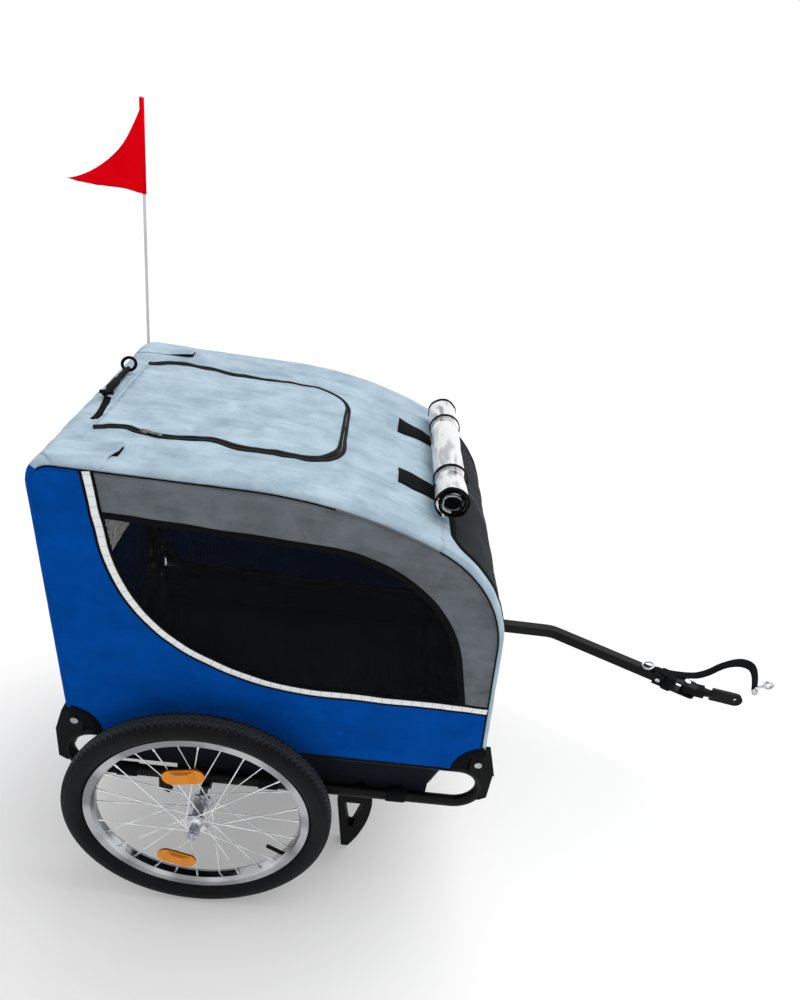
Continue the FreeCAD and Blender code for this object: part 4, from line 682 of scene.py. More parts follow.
def makeTail(style):
    corner = style["barCorner"]
    girth = 4 * (2 * (style["barHalf"] + style["turnLift"] - corner) + corner * math.pi / 2)
    start, end = style["turns"]
    tape("strap_tail", [(style["run"][0], 0.0), (style["run"][1], 1.5)], barTop, style["width"] - 2, 1.8,
         blackWebbing, "chassis")
    tape("strap_turns", [(0.0, start), (girth * style["turnCount"], end)], barRound, style["width"], 1.8,
         blackWebbing, "chassis", step=3.0)
    loop = []
    for a in roundSteps:
        along, across = turned(style["ringSize"][0], a)[0], turned(style["ringSize"][1], a)[1]
        tilt = turned(style["ringTilt"], a)[0]
        loop.append(onBar(style["ring"] + along, across, style["barHalf"] + style["ringSeat"] + tilt))
    wire("strap_ring", loop, style["ringWire"], zincSteel, "chassis", closed=True)
    for label, across in (("right", -1), ("left", 1)):
        spots = [onBar(style["bolt"], across * (style["barHalf"] + d), 0.0) for d in style["boltOut"]]
        wire(f"bar_bolt_{label}", spots, style["boltR"], zincSteel, "chassis", straight=True)


makeTail(tail)
print("camera and strap made")

# The cabin cover's shape seen from the side, the same all the way across
cover = {"halfWidth": 270.0, "bend": 12.0, "roofZ": 944.0, "roofR": 750.0, "browDeg": 24.4, "noseR": 235.0,
         "noseDeg": 85.0, "frontX": 521.0, "frontAtZ": 405.0, "rearX": -250.0, "rearAtZ": 420.0,
         "rearLean": 2.74, "cornerR": 45.0, "lowZ": 384.0, "cornerCut": 60.0, "cutClear": 6.0}


def onArc(centre, radius, degrees):
    # the angle is measured from straight up towards the front
    angle = math.radians(degrees)
    return centre[0] + radius * math.sin(angle), centre[1] + radius * math.cos(angle)


def coverShape(style):
    # pieces of the outline from the rear foot over the roof to the front foot
    lean = math.radians(style["rearLean"])
    slope = math.tan(math.radians(90.0 - style["noseDeg"]))
    roofZ, roofR, noseR, cornerR = (style[key] for key in ("roofZ", "roofR", "noseR", "cornerR"))
    brow = onArc((0.0, roofZ - roofR), roofR - noseR, style["browDeg"])
    nose = onArc(brow, noseR, style["noseDeg"])
    flatX = style["frontX"] - nose[0] - (nose[1] - style["frontAtZ"]) * slope
    cornerZ = roofZ - cornerR
    cornerX = style["rearX"] + (cornerR - (cornerZ - style["rearAtZ"]) * math.sin(lean)) / math.cos(lean)
    roofC = (flatX, roofZ - roofR)
    noseC = onArc(roofC, roofR - noseR, style["browDeg"])
    rearDeg = -90.0 - style["rearLean"]
    rearTop = onArc((cornerX, cornerZ), cornerR, rearDeg)
    noseEnd = onArc(noseC, noseR, style["noseDeg"])
    rearFoot = (rearTop[0] + (rearTop[1] - style["lowZ"]) * math.tan(lean), style["lowZ"])
    frontFoot = (noseEnd[0] + (noseEnd[1] - style["lowZ"]) * slope, style["lowZ"])
    parts = [("line", rearFoot, rearTop), ("arc", (cornerX, cornerZ), cornerR, rearDeg, 0.0),
             ("line", (cornerX, roofZ), (flatX, roofZ)), ("arc", roofC, roofR, 0.0, style["browDeg"]),
             ("arc", noseC, noseR, style["browDeg"], style["noseDeg"]), ("line", noseEnd, frontFoot)]
    marks = [0.0]
    for part in parts:
        if part[0] == "line":
            marks.append(marks[-1] + math.dist(part[1], part[2]))
        else:
            marks.append(marks[-1] + part[2] * math.radians(part[4] - part[3]))
    return parts, marks


coverParts, coverMarks = coverShape(cover)
rearTopS, roofFlatS, roofBendS, browS, noseS, frontFootS = coverMarks[1:]


def coverAt(s):
    # point of the outline and the direction that looks out of the cabin
    k = sum(s > mark for mark in coverMarks[1:-1])
    part = coverParts[k]
    rest = s - coverMarks[k]
    if part[0] == "line":
        (x0, z0), (x1, z1) = part[1:]
        size = math.dist(part[1], part[2])
        tx, tz = (x1 - x0) / size, (z1 - z0) / size
        return (x0 + tx * rest, z0 + tz * rest), (-tz, tx)
    degrees = part[3] + math.degrees(rest / part[2])
    return onArc(part[1], part[2], degrees), onArc((0, 0), 1.0, degrees)


def coverInset(s, inset):
    (x, z), (nx, nz) = coverAt(s)
    return x - nx * inset, z - nz * inset


def roofS(x):
    # distance along the outline of a place on the roof
    flatEnd = coverParts[2][2][0]
    if x <= flatEnd:
        return roofFlatS + x - coverParts[2][1][0]
    return roofBendS + cover["roofR"] * math.asin((x - flatEnd) / cover["roofR"])


def heightS(z, front):
    # distance along the outline of a height on the straight part of the front or the rear
    part, mark = (coverParts[5], noseS) if front else (coverParts[0], 0.0)
    (x0, z0), (x1, z1) = part[1:]
    return mark + (z - z0) / (z1 - z0) * math.dist(part[1], part[2])


def noseHeightS(z):
    # distance along the outline of a height on the nose
    noseC = coverParts[4][1]
    angle = math.acos((z - noseC[1]) / cover["noseR"])
    return browS + cover["noseR"] * (angle - math.radians(cover["browDeg"]))


def foldHeight(u, v, folds):
    # ridges and dips along lines (u0, v0, u1, v1, width, height) that fade out at their ends
    total = 0.0
    for u0, v0, u1, v1, width, height in folds:
        du, dv = u1 - u0, v1 - v0
        size = math.hypot(du, dv)
        t = ((u - u0) * du + (v - v0) * dv) / size ** 2
        if 0 < t < 1:
            off = ((u - u0) * dv - (v - v0) * du) / size / width
            if abs(off) < 3:
                total += height * math.sin(math.pi * t) ** 0.8 * math.exp(-off * off)
    return total


def rumple(u, v, size, seed):
    coarse = noise.noise(Vector((u / size, v / size, seed)))
    return coarse + 0.5 * noise.noise(Vector((u / size * 2, v / size * 2, seed)))


wrapFlat = cover["halfWidth"] - cover["bend"]
wrapEdge = wrapFlat + cover["bend"] * math.pi / 2
wrapFolds = {
    "roof": [(120, -240, 330, -60, 16, 3.6), (150, -120, 330, 60, 20, 2.8), (200, 60, 380, 230, 18, 3.2),
             (-60, -235, 60, -160, 14, 2.8), (-180, -225, -60, -165, 13, 2.6), (-40, 165, 120, 235, 15, 3.0),
             (-150, 40, 40, -60, 30, 2.4), (-60, 110, 90, 20, 26, -2.2), (20, -120, 150, -20, 24, 2.2),
             (-190, -90, -90, -20, 22, 2.0), (210, -20, 300, -180, 22, -2.6), (180, 150, 320, 60, 24, -2.6),
             (200, -250, 300, -110, 13, 3.0), (255, -245, 370, -150, 12, -2.6),
             (-30, -250, 110, -215, 10, 2.4), (90, 200, 230, 245, 12, 2.4), (300, 20, 390, -90, 15, 2.4),
             (330, 160, 400, 60, 14, -2.2)],
    "gain": 1.4, "fade": 40.0, "rumple": 2.2, "rumpleSize": 44.0, "rumpleSeed": 3.7,
    "sag": 3.5, "sagAcross": 150.0, "sagAlong": 120.0, "pastBrow": 60.0,
}


def wrapSurface(s, v, lift):
    # the cover over rear, roof and front; v runs across it and round the bend into the sides
    (x, z), (nx, nz) = coverAt(s)
    side = 1 if v >= 0 else -1
    turn = max(0.0, (abs(v) - wrapFlat) / cover["bend"])
    y = side * (min(abs(v), wrapFlat) + cover["bend"] * math.sin(turn))
    drop = cover["bend"] * (1 - math.cos(turn))
    edge = min(wrapEdge - abs(v), s, frontFootS - s)
    fade = smooth(edge / wrapFolds["fade"])
    give = wrapFolds["rumple"] * rumple(s, v, wrapFolds["rumpleSize"], wrapFolds["rumpleSeed"])
    roofEnd = browS + wrapFolds["pastBrow"]
    if rearTopS < s < roofEnd:
        sag = smooth((wrapEdge - abs(v)) / wrapFolds["sagAcross"])
        sag *= smooth((s - rearTopS) / wrapFolds["sagAlong"])
        sag *= smooth((roofEnd - s) / wrapFolds["sagAlong"])
        give += wrapFolds["gain"] * foldHeight(x, v, wrapFolds["roof"]) - wrapFolds["sag"] * sag
    tilt = math.cos(turn)
    out = lift * tilt + give * fade * tilt - drop
    return at(x + nx * out, y + side * math.sin(turn) * lift, z + nz * out)


# Each side of the cabin
sideStyle = {
    "pipeZ": 540.0, "pipeX": 200.0, "pipeR1": 445.0, "pipeDeg1": 29.3, "pipeR2": 287.0, "pipeDeg2": 82.3,
    "pipeWidth": 12.0, "backing": 8.0, "windowX": 182.0, "windowZ": 845.0, "windowTilt": 2.4,
    "windowR": 264.0, "windowDeg": 76.4, "windowRear": -250.0, "windowLow": 500.0, "binding": 10.0,
    "cornerBand": 18.0,
    "behind": -2.6, "fade": 45.0, "rumple": 1.8, "rumpleSize": 70.0, "rumpleSeed": 1.3, "sag": 2.0,
    "sagFade": 110.0,
    "folds": [(-235, 470, -150, 640, 14, 2.4), (-240, 640, -170, 800, 15, -2.2), (-60, 430, 60, 520, 16, 1.8),
              (120, 425, 260, 520, 15, 1.8), (300, 420, 430, 530, 15, -1.6), (-200, 420, -80, 500, 16, 1.8),
              (-225, 800, -140, 900, 13, 2.0), (330, 890, 440, 770, 12, 1.6), (60, 905, 230, 870, 12, -1.4),
              (-125, 896, 25, 900, 4, 1.6), (-240, 480, -190, 440, 9, 2.6), (380, 600, 480, 720, 14, 1.6),
              (300, 905, 395, 850, 7, 2.6), (345, 850, 440, 830, 8, -2.4), (390, 790, 480, 760, 7, 2.6),
              (410, 735, 500, 690, 8, -2.6), (430, 690, 505, 630, 7, 2.6), (455, 800, 492, 640, 9, 2.2),
              (440, 610, 512, 575, 7, -2.2), (210, 925, 330, 885, 7, 2.2), (90, 925, 200, 905, 7, -1.8)],
}


def pipeLine(offset, step=8.0):
    # centre line of the piping from the front edge, under the window and up to the roof
    style = sideStyle
    c1 = (style["pipeX"], style["pipeZ"] + style["pipeR1"])
    c2 = onArc(c1, style["pipeR1"] - style["pipeR2"], 180.0 + style["pipeDeg1"])
    z = style["pipeZ"] + offset
    frontX = coverInset(heightS(z, True), cover["bend"])[0]
    line = [(frontX, z), (style["pipeX"], z)]
    for centre, radius, start, end in ((c1, style["pipeR1"] - offset, 0.0, style["pipeDeg1"]),
                                       (c2, style["pipeR2"] - offset, style["pipeDeg1"], style["pipeDeg2"])):
        count = round(radius * math.radians(end - start) / step)
        line += [onArc(centre, radius, 180.0 + start + (end - start) * (k + 1) / count) for k in range(count)]
    x, z = line[-1]
    rise = cover["roofZ"] - cover["bend"] - z
    line.append((x - rise * math.tan(math.radians(90.0 - style["pipeDeg2"])), z + rise))
    return line


def windowLine():
    # upper and front edge of the side window, from behind the piping to below it
    style = sideStyle
    tilt, rearX, lowZ = (style[key] for key in ("windowTilt", "windowRear", "windowLow"))
    centre = onArc((style["windowX"], style["windowZ"]), style["windowR"], 180.0 + tilt)
    line = [(rearX, style["windowZ"] + (style["windowX"] - rearX) * math.tan(math.radians(tilt)))]
    line += [onArc(centre, style["windowR"], tilt + (style["windowDeg"] - tilt) * k / 36) for k in range(37)]
    x, z = line[-1]
    line.append((x + (z - lowZ) * math.tan(math.radians(90.0 - style["windowDeg"])), lowZ))
    return line


def cutBetween(line, other):
    # the stretch of a line between its first and last crossing with another line
    hits = []
    for k, (a, b) in enumerate(zip(line, line[1:])):
        for c, d in zip(other, other[1:]):
            bottom = (b[0] - a[0]) * (d[1] - c[1]) - (b[1] - a[1]) * (d[0] - c[0])
            if abs(bottom) > 1e-9:
                t = ((c[0] - a[0]) * (d[1] - c[1]) - (c[1] - a[1]) * (d[0] - c[0])) / bottom
                w = ((c[0] - a[0]) * (b[1] - a[1]) - (c[1] - a[1]) * (b[0] - a[0])) / bottom
                if 0 <= t <= 1 and 0 <= w <= 1:
                    hits.append((k + t, (a[0] + (b[0] - a[0]) * t, a[1] + (b[1] - a[1]) * t)))
    hits.sort()
    (first, firstPoint), (last, lastPoint) = hits[0], hits[-1]
    return [firstPoint] + [line[k] for k in range(math.floor(first) + 1, math.floor(last) + 1)] + [lastPoint]


def edgeRun(s0, s1, step=9.0):
    # the side's own edge, just inside the bend of the cover
    count = max(1, round(abs(s1 - s0) / step))
    return [coverInset(s0 + (s1 - s0) * k / count, cover["bend"]) for k in range(count + 1)]


def cornerArc(corner, start, end):
    return [onArc(corner, cover["cornerCut"], start + (end - start) * k / 10) for k in range(11)]


pipeRun = pipeLine(0.0)
windowRun = cutBetween(windowLine(), pipeLine(sideStyle["binding"]))
frontPipeS = heightS(sideStyle["pipeZ"], True)
topPipeS = roofS(pipeRun[-1][0])
rearFootX = coverParts[0][1][0]
frontFootX = coverParts[5][2][0]
lowEdge = cover["lowZ"] + 1.0
rearCut = cornerArc((rearFootX, lowEdge), 90.0, 10.0)
frontCut = cornerArc((frontFootX, lowEdge), 350.0, 270.0)
rearStart = heightS(rearCut[-1][1] + cover["cutClear"], False)
frontEnd = heightS(frontCut[0][1] + cover["cutClear"], True)
sideEdge = np.array(resample(edgeRun(rearStart, frontEnd) + frontCut + rearCut, 6.0))
blueOutline = pipeRun + edgeRun(topPipeS, rearStart)[1:] + rearCut[::-1]
blueOutline += frontCut[::-1] + edgeRun(frontEnd, frontPipeS)
# the grey cloth meets the piping a little past the window's two ends
lowPipe = [p for p in pipeRun if p[0] > windowRun[-1][0] + 3]
highPipe = [p for p in pipeRun if p[1] > windowRun[0][1] + 3]
greyOutline = lowPipe[::-1] + windowRun[::-1] + highPipe + edgeRun(topPipeS, frontPipeS)[1:-1]
meshOutline = windowRun + cutBetween(pipeLine(sideStyle["binding"] * 0.3), windowLine())


def sideSurface(side):
    style = sideStyle

    def surface(x, z, lift):
        edge = math.sqrt(((sideEdge - (x, z)) ** 2).sum(1).min())
        fade = smooth(edge / style["fade"])
        give = style["rumple"] * rumple(x, z, style["rumpleSize"], style["rumpleSeed"] + side)
        give += foldHeight(x, z, style["folds"])
        give -= style["sag"] * smooth(edge / style["sagFade"])
        return at(x, side * (cover["halfWidth"] + lift + give * fade), z)

    return surface


for side, word in sides:
    surface = sideSurface(side)
    for kind, outline, material, cell, thickness in (("blue", blueOutline, bluePolyester, 8.0, 1.6),
                                                     ("grey", greyOutline, greyPolyester, 8.0, 1.6),
                                                     ("mesh", meshOutline, blackFlyMesh, 10.0, 0.6)):
        clothPanel(f"side_{kind}_cloth_{word}", outline, surface, material, cell, thickness, "cover",
                   node=f"side_{kind}_{word}")
    pipeWidth, behind = sideStyle["pipeWidth"], sideStyle["behind"]
    tape(f"side_piping_tape_{word}", pipeRun, surface, pipeWidth, 1.4, whiteReflective, "cover",
         node="side_piping" if side > 0 else None)
    gap = pipeWidth / 2 + 2.2
    for label, offset in (("upper", gap), ("lower", -gap)):
        tape(f"pipe_binding_{label}_{word}", pipeLine(offset), surface, 5.0, 0.9, blackBinding, "cover")
    tape(f"pipe_backing_{word}", pipeRun, surface, pipeWidth + sideStyle["backing"], 0.6, blackBinding,
         "cover", lift=behind)
    # a black hem strip behind the blue cloth's lower edge, showing below it as a dark line that stands in for
    # the shade under the edge
    hemZ = lowEdge - 3.0
    tape(f"side_hem_{word}", [(rearCut[0][0], hemZ), (frontCut[-1][0], hemZ)], surface, 12.0, 0.7,
         blackBinding, "cover", lift=behind)
    # wide black binding round the cut-out over each bracket, and the dark gusset inside it
    for label, arc in (("front", frontCut), ("rear", rearCut)):
        for kind, share, lift in (("band", 0.3, 0.4), ("gusset", 1.15, -5.0)):
            tape(f"corner_{kind}_{label}_{word}", arc, surface, sideStyle["cornerBand"], 1.6, blackBinding,
                 "cover", lift=lift, shift=share)
    tape(f"window_binding_{word}", windowRun, surface, 12.0, 1.3, blackBinding, "cover")
print("side panels made")

# Roof with its hatch, and the panels at the front and the rear
hatch = {"rearX": -212.0, "frontX": 183.0, "halfWidth": 150.0, "cornerR": 70.0, "gap": 1.5,
         # sideways wander of the sewn zip along x, inward on the right and outward on the left
         "rightSway": [(-212, 5), (-189, 15), (-165, 18), (-136, 8), (-102, 4), (-30, 13), (34, -5), (90, -2),
                       (113, 0)],
         "leftSway": [(-212, 0), (-180, 17), (-145, 21), (-100, 15), (-40, 1), (20, 0), (113, 0)],
         # width of each half of the zip by the share of its length, from the rear right to the rear left
         "zip": [(0, 6.6), (0.1, 7.4), (0.28, 8.8), (0.38, 9.4), (0.46, 6.0), (0.55, 5.6), (0.64, 2.4),
                 (0.74, 2.4), (0.82, 5.8), (1, 6.4)],
         "zipShift": 0.56, "sliderX": -138.0, "hemSetback": 4, "hemHalf": 188.0}
windows = {"frontY": 242.0, "frontZ": (520.0, 866.0), "rearY": 165.0, "rearZ": (570.0, 850.0), "corner": 32.0,
           "footY": {"front": 232.0, "rear": 216.0}, "footZ": 440.0}


def between(table, x):
    # smooth value of a table of (place, value)
    for (x0, v0), (x1, v1) in zip(table, table[1:]):
        if x <= x1:
            return v0 + (v1 - v0) * smooth((x - x0) / (x1 - x0))
    return table[-1][1]


def hatchLine(inset):
    # U of the hatch's zip, from the rear right corner round the front to the rear left
    x1 = hatch["frontX"] - inset
    y = hatch["halfWidth"] - inset
    r = hatch["cornerR"] - inset
    runs = [hatch["rearX"] + (x1 - r - hatch["rearX"]) * k / 30 for k in range(30)]
    bends = [turned(r, a) for a in range(0, 91, 6)]
    line = [(x, -y + between(hatch["rightSway"], x)) for x in runs]
    line += [(x1 - r + sine, -y + r - cosine) for cosine, sine in bends]
    line += [(x1 - r + cosine, y - r + sine) for cosine, sine in bends]
    line += [(x, y + between(hatch["leftSway"], x)) for x in runs[::-1]]
    return [(roofS(x), y) for x, y in line]


# rear edge of the roof cloth, drawn forward at the corners where the rear panel comes up round the bend
rearDraw = [(12.0, -200.0), (14.0, -222.0), (20.0, -244.0), (30.0, -258.0), (42.0, -wrapEdge)]
roofRear = [(rearTopS + s, v) for s, v in rearDraw]
roofRearEdge = [(s, -v) for s, v in roofRear[::-1]] + roofRear


def endPanel(end, footS):
    # end panel with its lower corners cut away for the brackets
    y = windows["footY"][end]
    low = frontFootS if end == "front" else 0.0
    lower = [(footS, -wrapEdge), (footS, -y), (low, -y), (low, y), (footS, y), (footS, wrapEdge)]
    return lower + ([(browS, wrapEdge), (browS, -wrapEdge)] if end == "front" else roofRearEdge)


clothPanel("roof_cloth", [(browS, -wrapEdge), (browS, wrapEdge)] + roofRearEdge, wrapSurface, roofPolyester,
           8.0, 1.6, "front_hoop", node="roof_cover",
           holes=[hatchLine(-hatch["gap"])])
clothPanel("roof_hatch_cloth", hatchLine(hatch["gap"]), wrapSurface, roofPolyester, 8.0, 1.6, "roof_hatch",
           node="roof_hatch")
zipLine = hatchLine(0.0)
zipLength = sum(math.dist(a, b) for a, b in zip(zipLine, zipLine[1:]))
for label, way, body in (("roof", -1, "front_hoop"), ("hatch", 1, "roof_hatch")):
    tape(f"zip_half_{label}", zipLine, wrapSurface, lambda run: between(hatch["zip"], run / zipLength), 1.6,
         zipCoil, body, shift=way * hatch["zipShift"])
sliderS = roofS(hatch["sliderX"])
sliderY = -hatch["halfWidth"] + between(hatch["rightSway"], hatch["sliderX"])
for label, line, width, height, lift in (
        ("slider", [(sliderS, sliderY), (sliderS + 13, sliderY - 2)], 10.0, 4.0, 1.4),
        ("pull", [(sliderS + 9, sliderY - 2), (sliderS + 36, sliderY - 9)], 6.5, 1.4, 4.6)):
    tape(f"zip_{label}", line, wrapSurface, width, height, gunMetal, "front_hoop", step=3.0, lift=lift)
# sewn hem along the hatch's rear edge
hemS = roofS(hatch["rearX"] - hatch["hemSetback"])
tape("hatch_hem", [(hemS, -hatch["hemHalf"]), (hemS, hatch["hemHalf"])], wrapSurface, 5.0, 1.3, roofPolyester,
     "front_hoop")

# Flaps of roof cloth at the rear corners, lifting at their free front edge over a black patch that stands in
# for the shade under the flap
flap = {"rear": 44.0, "front": 160.0, "inner": 204.0, "outer": 272.0, "stand": 1.5, "lift": 8.0,
        "freeFrom": 98.0, "freeRun": 62.0, "flatFrom": 254.0, "flatRun": 42.0, "ripple": 1.5,
        "rippleRun": 9.0}


def flapSurface(side):
    def surface(s, v, lift):
        free = smooth((s - rearTopS - flap["freeFrom"]) / flap["freeRun"])
        inner = smooth((flap["flatFrom"] - v) / flap["flatRun"])
        ripple = flap["ripple"] * math.sin(v / flap["rippleRun"]) * free
        return wrapSurface(s, side * v, lift + flap["stand"] + flap["lift"] * free * inner + ripple)

    return surface


for side, word in sides:
    rear, front = rearTopS + flap["rear"], rearTopS + flap["front"]
    inner, outer = flap["inner"], flap["outer"]
    cut = [(rear, inner + 10), (rear + 14, inner), (front - 5, inner), (front, inner + 6),
           (front - 3, inner + 24), (front - 12, outer - 26), (front - 14, outer - 3), (front - 20, outer),
           (rear + 30, outer), (rear, 240.0)]
    clothPanel(f"corner_flap_{word}", cut, flapSurface(side), roofPolyester, 6.0, 1.4, "front_hoop")
    # painted shade: a black strip under each flap's free edge stands in for the shadow beneath it
    patch = [(rear + 72, side * (inner + 17)), (front - 2, side * (inner + 19))]
    tape(f"flap_shade_patch_{word}", patch, wrapSurface, 28.0, 1.0, blackBinding, "front_hoop")

frontHole = roundedRectangle(noseHeightS(windows["frontZ"][1]), heightS(windows["frontZ"][0], True),
                             windows["frontY"], windows["corner"], 9)
rearHole = roundedRectangle(heightS(windows["rearZ"][0], False), heightS(windows["rearZ"][1], False),
                            windows["rearY"], windows["corner"], 9)
footS = {"front": heightS(windows["footZ"], True), "rear": heightS(windows["footZ"], False)}
for end, hole, material, screenMaterial, clothNode in (
        ("front", frontHole, roofPolyester, frontLitFlyMesh, "front_cover"),
        ("rear", rearHole, bluePolyester, blackFlyMesh, "rear_panel")):
    clothPanel(f"{end}_cloth", endPanel(end, footS[end]), wrapSurface, material, 10.0, 1.6, "cover",
               node=clothNode, holes=[hole])
    clothPanel(f"{end}_mesh_cloth", hole, wrapSurface, screenMaterial, 12.0, 0.6, "cover",
               node=f"{end}_mesh")
    tape(f"{end}_window_binding", hole, wrapSurface, 12.0, 1.3, blackBinding, "cover", closed=True)
# seam down the middle of the front screen
screenTop, screenLow = (pick(s for s, v in frontHole) for pick in (min, max))
tape("front_mesh_seam", [(screenTop, 0.0), (screenLow, 0.0)], wrapSurface, 3.0, 0.8, greyPolyester, "cover",
     slot="black_mesh")
# thin seam where the roof cloth meets the sides: black along the hatch, then under a fold of the grey cloth
foldS = roofS(190.0)
for side, word in sides:
    edge = side * (wrapEdge - 1.0)
    for label, start, end, material, carrier in (
            ("roof_seam", roofRear[-1][0], foldS, blackBinding, "front_hoop"),
            ("roof_seam_fold", foldS, browS, greyPolyester, "front_hoop"),
            ("nose_seam", browS, footS["front"], blackBinding, "cover")):
        tape(f"{label}_{word}", [(start, edge), (end, edge)], wrapSurface, 2.4, 0.7, material, carrier)
print("roof and end panels made")

# Wheels: tyre with a zigzag tread, spoke nipples and a valve
wheel = {"track": 318.0, "radius": 250.0, "halfWidth": 23.0, "rimR": 208.5, "seatR": 199.0, "innerR": 190.0,
         "bead": 11.0, "seatGap": 0.3, "crown": 9.0, "wallRing": 6.0, "wallRise": 0.25, "treadCount": 120,
         "treadRows": (-10.0, 0.0, 10.0), "treadSwing": 3.0, "groove": 2.8, "shoulder": 13.5,
         "spokes": 28, "cross": 51.43, "flangeY": 22.0, "spokeHoleR": 21.0, "spokeSide": 3.2, "rimOut": 4.0,
         "rimIn": 2.0, "nipple": (-0.5, 5.0, 11.0), "nippleR": 1.9,
         "valveDeg": 121.0, "valve": (191.0, 176.0, 164.0, 155.0), "valveR": 3.6}


def tyreProfile(style):
    # closed section from bead to bead, round the outside
    seat, lip = style["seatR"] + style["seatGap"], style["rimR"] + style["seatGap"]
    bead, wide = style["bead"], style["halfWidth"]
    middle = (lip + style["radius"]) / 2 - 2.0
    rise = style["radius"] - middle
    fall = middle - lip
    wall = [math.radians(-75 + 75 * k / 12) for k in range(1, 12)]
    points = [(seat, -bead), (seat, bead), (lip, bead)]
    points += [(middle + fall * math.sin(a), wide * math.cos(a)) for a in wall]
    for k in range(33):
        a = math.radians(180 * k / 32)
        flat = abs(math.cos(a)) ** 0.8 * (1 if math.cos(a) > 0 else -1)
        points.append((middle + rise * math.sin(a) ** 0.75, wide * flat))
    points += [(middle + fall * math.sin(a), -wide * math.cos(a)) for a in wall[::-1]]
    return points + [(lip, -bead)]


def treadShape(angle, radius, y):
    # zigzag grooves round the tread, short slots at the shoulders and fine rings on the walls
    style = wheel
    if radius < style["radius"] - style["crown"]:
        ring = math.cos((radius - style["rimR"]) * 2 * math.pi / style["wallRing"])
        return style["wallRise"] * ring if radius > style["rimR"] + 4 else 0.0
    turn = angle / (2 * math.pi) * style["treadCount"]
    swing = abs(turn % 1.0 - 0.5) * 4 - 1
    cut = 0.0
    for row in style["treadRows"]:
        off = abs(y - row - swing * style["treadSwing"])
        cut = max(cut, 1 - smooth((off - 0.8) / 1.2))
    if abs(y) > style["shoulder"]:
        slot = abs((turn * 2) % 1.0 - 0.5)
        cut = max(cut, 1 - smooth((slot - 0.14) / 0.12))
    return -style["groove"] * cut


def makeNipples(style, side, word):
    # one at the rim end of each crossed spoke of both flanges
    perFlange = style["spokes"] // 2
    for flange, label in ((1, "1"), (-1, "in")):
        for k in range(perFlange):
            way = 1 if k % 2 == 0 else -1
            start = k * 360.0 / perFlange + (180.0 / perFlange if flange < 0 else 0.0)
            near = onArc((0, 0), style["spokeHoleR"], start)
            far = onArc((0, 0), style["innerR"], start + way * style["cross"])
            nearY = flange * (style["flangeY"] + way * style["spokeSide"])
            farY = flange * (style["rimOut"] if way > 0 else style["rimIn"])
            inner = Vector((near[0], nearY, near[1]))
            outer = Vector((far[0], farY, far[1]))
            along = (inner - outer).normalized()
            ends = [outer + along * d for d in style["nipple"]]
            line = [at(p.x, side * (style["track"] + p.y), axleZ + p.z) for p in ends]
            wire(f"nipple_{word}_{label}_{k}", line, style["nippleR"], spokeWire, f"wheel_{word}",
                 straight=True, roundness=2)


turns = wheel["treadCount"] * 8
for side, word in sides:
    centre = (0.0, side * wheel["track"], axleZ)
    tyre = lathe(f"tyre_tread_{word}", tyreProfile(wheel), centre, treadRubber, turns, treadShape)
    rounds = [(v.co.x - axleX, v.co.z - axleZ * mm) for v in tyre.data.vertices]
    setCutMap(tyre, [(math.atan2(x, z) * wheel["radius"], math.hypot(x, z) / mm) for x, z in rounds])
    settle(tyre, f"wheel_{word}", f"tyre_{word}")
    makeNipples(wheel, side, word)
    stem = [onArc((0, 0), radius, wheel["valveDeg"]) for radius in wheel["valve"]]
    wire(f"valve_{word}", [at(x, side * wheel["track"], axleZ + z) for x, z in stem], wheel["valveR"],
         tyreRubber, f"wheel_{word}", straight=True)
print("wheels made")

# Floor tub of dark cloth between the rails, with its ledges, hems and webbing bands
tub = {"lowX": (-205.0, 438.0), "topX": (-216.0, 494.0), "lowZ": 277.0, "topZ": 383.3, "halfWidth": 240.5,
       "corner": 34.0, "thickness": 2.0, "ledgeX": (-185.0, 465.0), "ledgeY": 265.5, "ledgeRise": 1.2,
       "tuck": 3.0, "panelGap": 1.8, "footGap": 4.0,
       "hemX": (-60.0, 430.0), "hemZ": (262.0, 300.0), "hemY": 238.4,
       "bandX": (-150.0, 120.0, 370.0), "bandWidth": 38.0, "bandDeg": 330, "bandGap": 1.2,
       "rail": (252.0, 272.0, 11.0)}


def tubRing(share, inset):
    # rounded rectangle at a share of the tub's height
    x0, x1 = (tub["lowX"][k] + (tub["topX"][k] - tub["lowX"][k]) * share for k in (0, 1))
    return resample(roundedRectangle(x0, x1, tub["halfWidth"], tub["corner"], 15, inset), 14.0)


def makeTub(style):
    floorZ = style["lowZ"] + style["thickness"]
    levels = ((0.0, 10.0, floorZ), (0.03, 3.0, floorZ + 3), (0.1, 0.6, floorZ + 10), (0.35, 3.5, 316.0),
              (0.65, 4.0, 350.0), (0.9, 1.5, 376.0), (1.0, 0.3, style["topZ"]))
    count = len(tubRing(*levels[0][:2]))
    points = []
    for share, inset, z in levels:
        outline = tubRing(share, inset)
        step = len(outline) / count
        for k in range(count):
            x, y = outline[int(k * step)]
            push = 1.2 * rumple(x + y, z * 2, 40.0, 9.1) if floorZ + 12 < z < style["topZ"] - 2 else 0.0
            points.append(at(x + push, y - math.copysign(abs(push), y), z))
    faces = rowFaces(len(levels), count)
    faces.append(tuple(range(count))[::-1])
    piece = newPiece("floor_tub_cloth", points, faces, navyPolyester)
    setCutMap(piece, [((p.x - axleX) / mm + p.y / mm, p.z / mm) for p in points])
    thicken(piece, style["thickness"])
    settle(piece, "chassis", "floor_tub")


makeTub(tub)


def rectangle(u0, u1, v0, v1):
    return [(u0, v0), (u1, v0), (u1, v1), (u0, v1)]


def ledgeSurface(x, y, lift):
    return at(x, y, tub["topZ"] + tub["ledgeRise"] + lift + 0.8 * rumple(x, y, 30.0, 4.4))


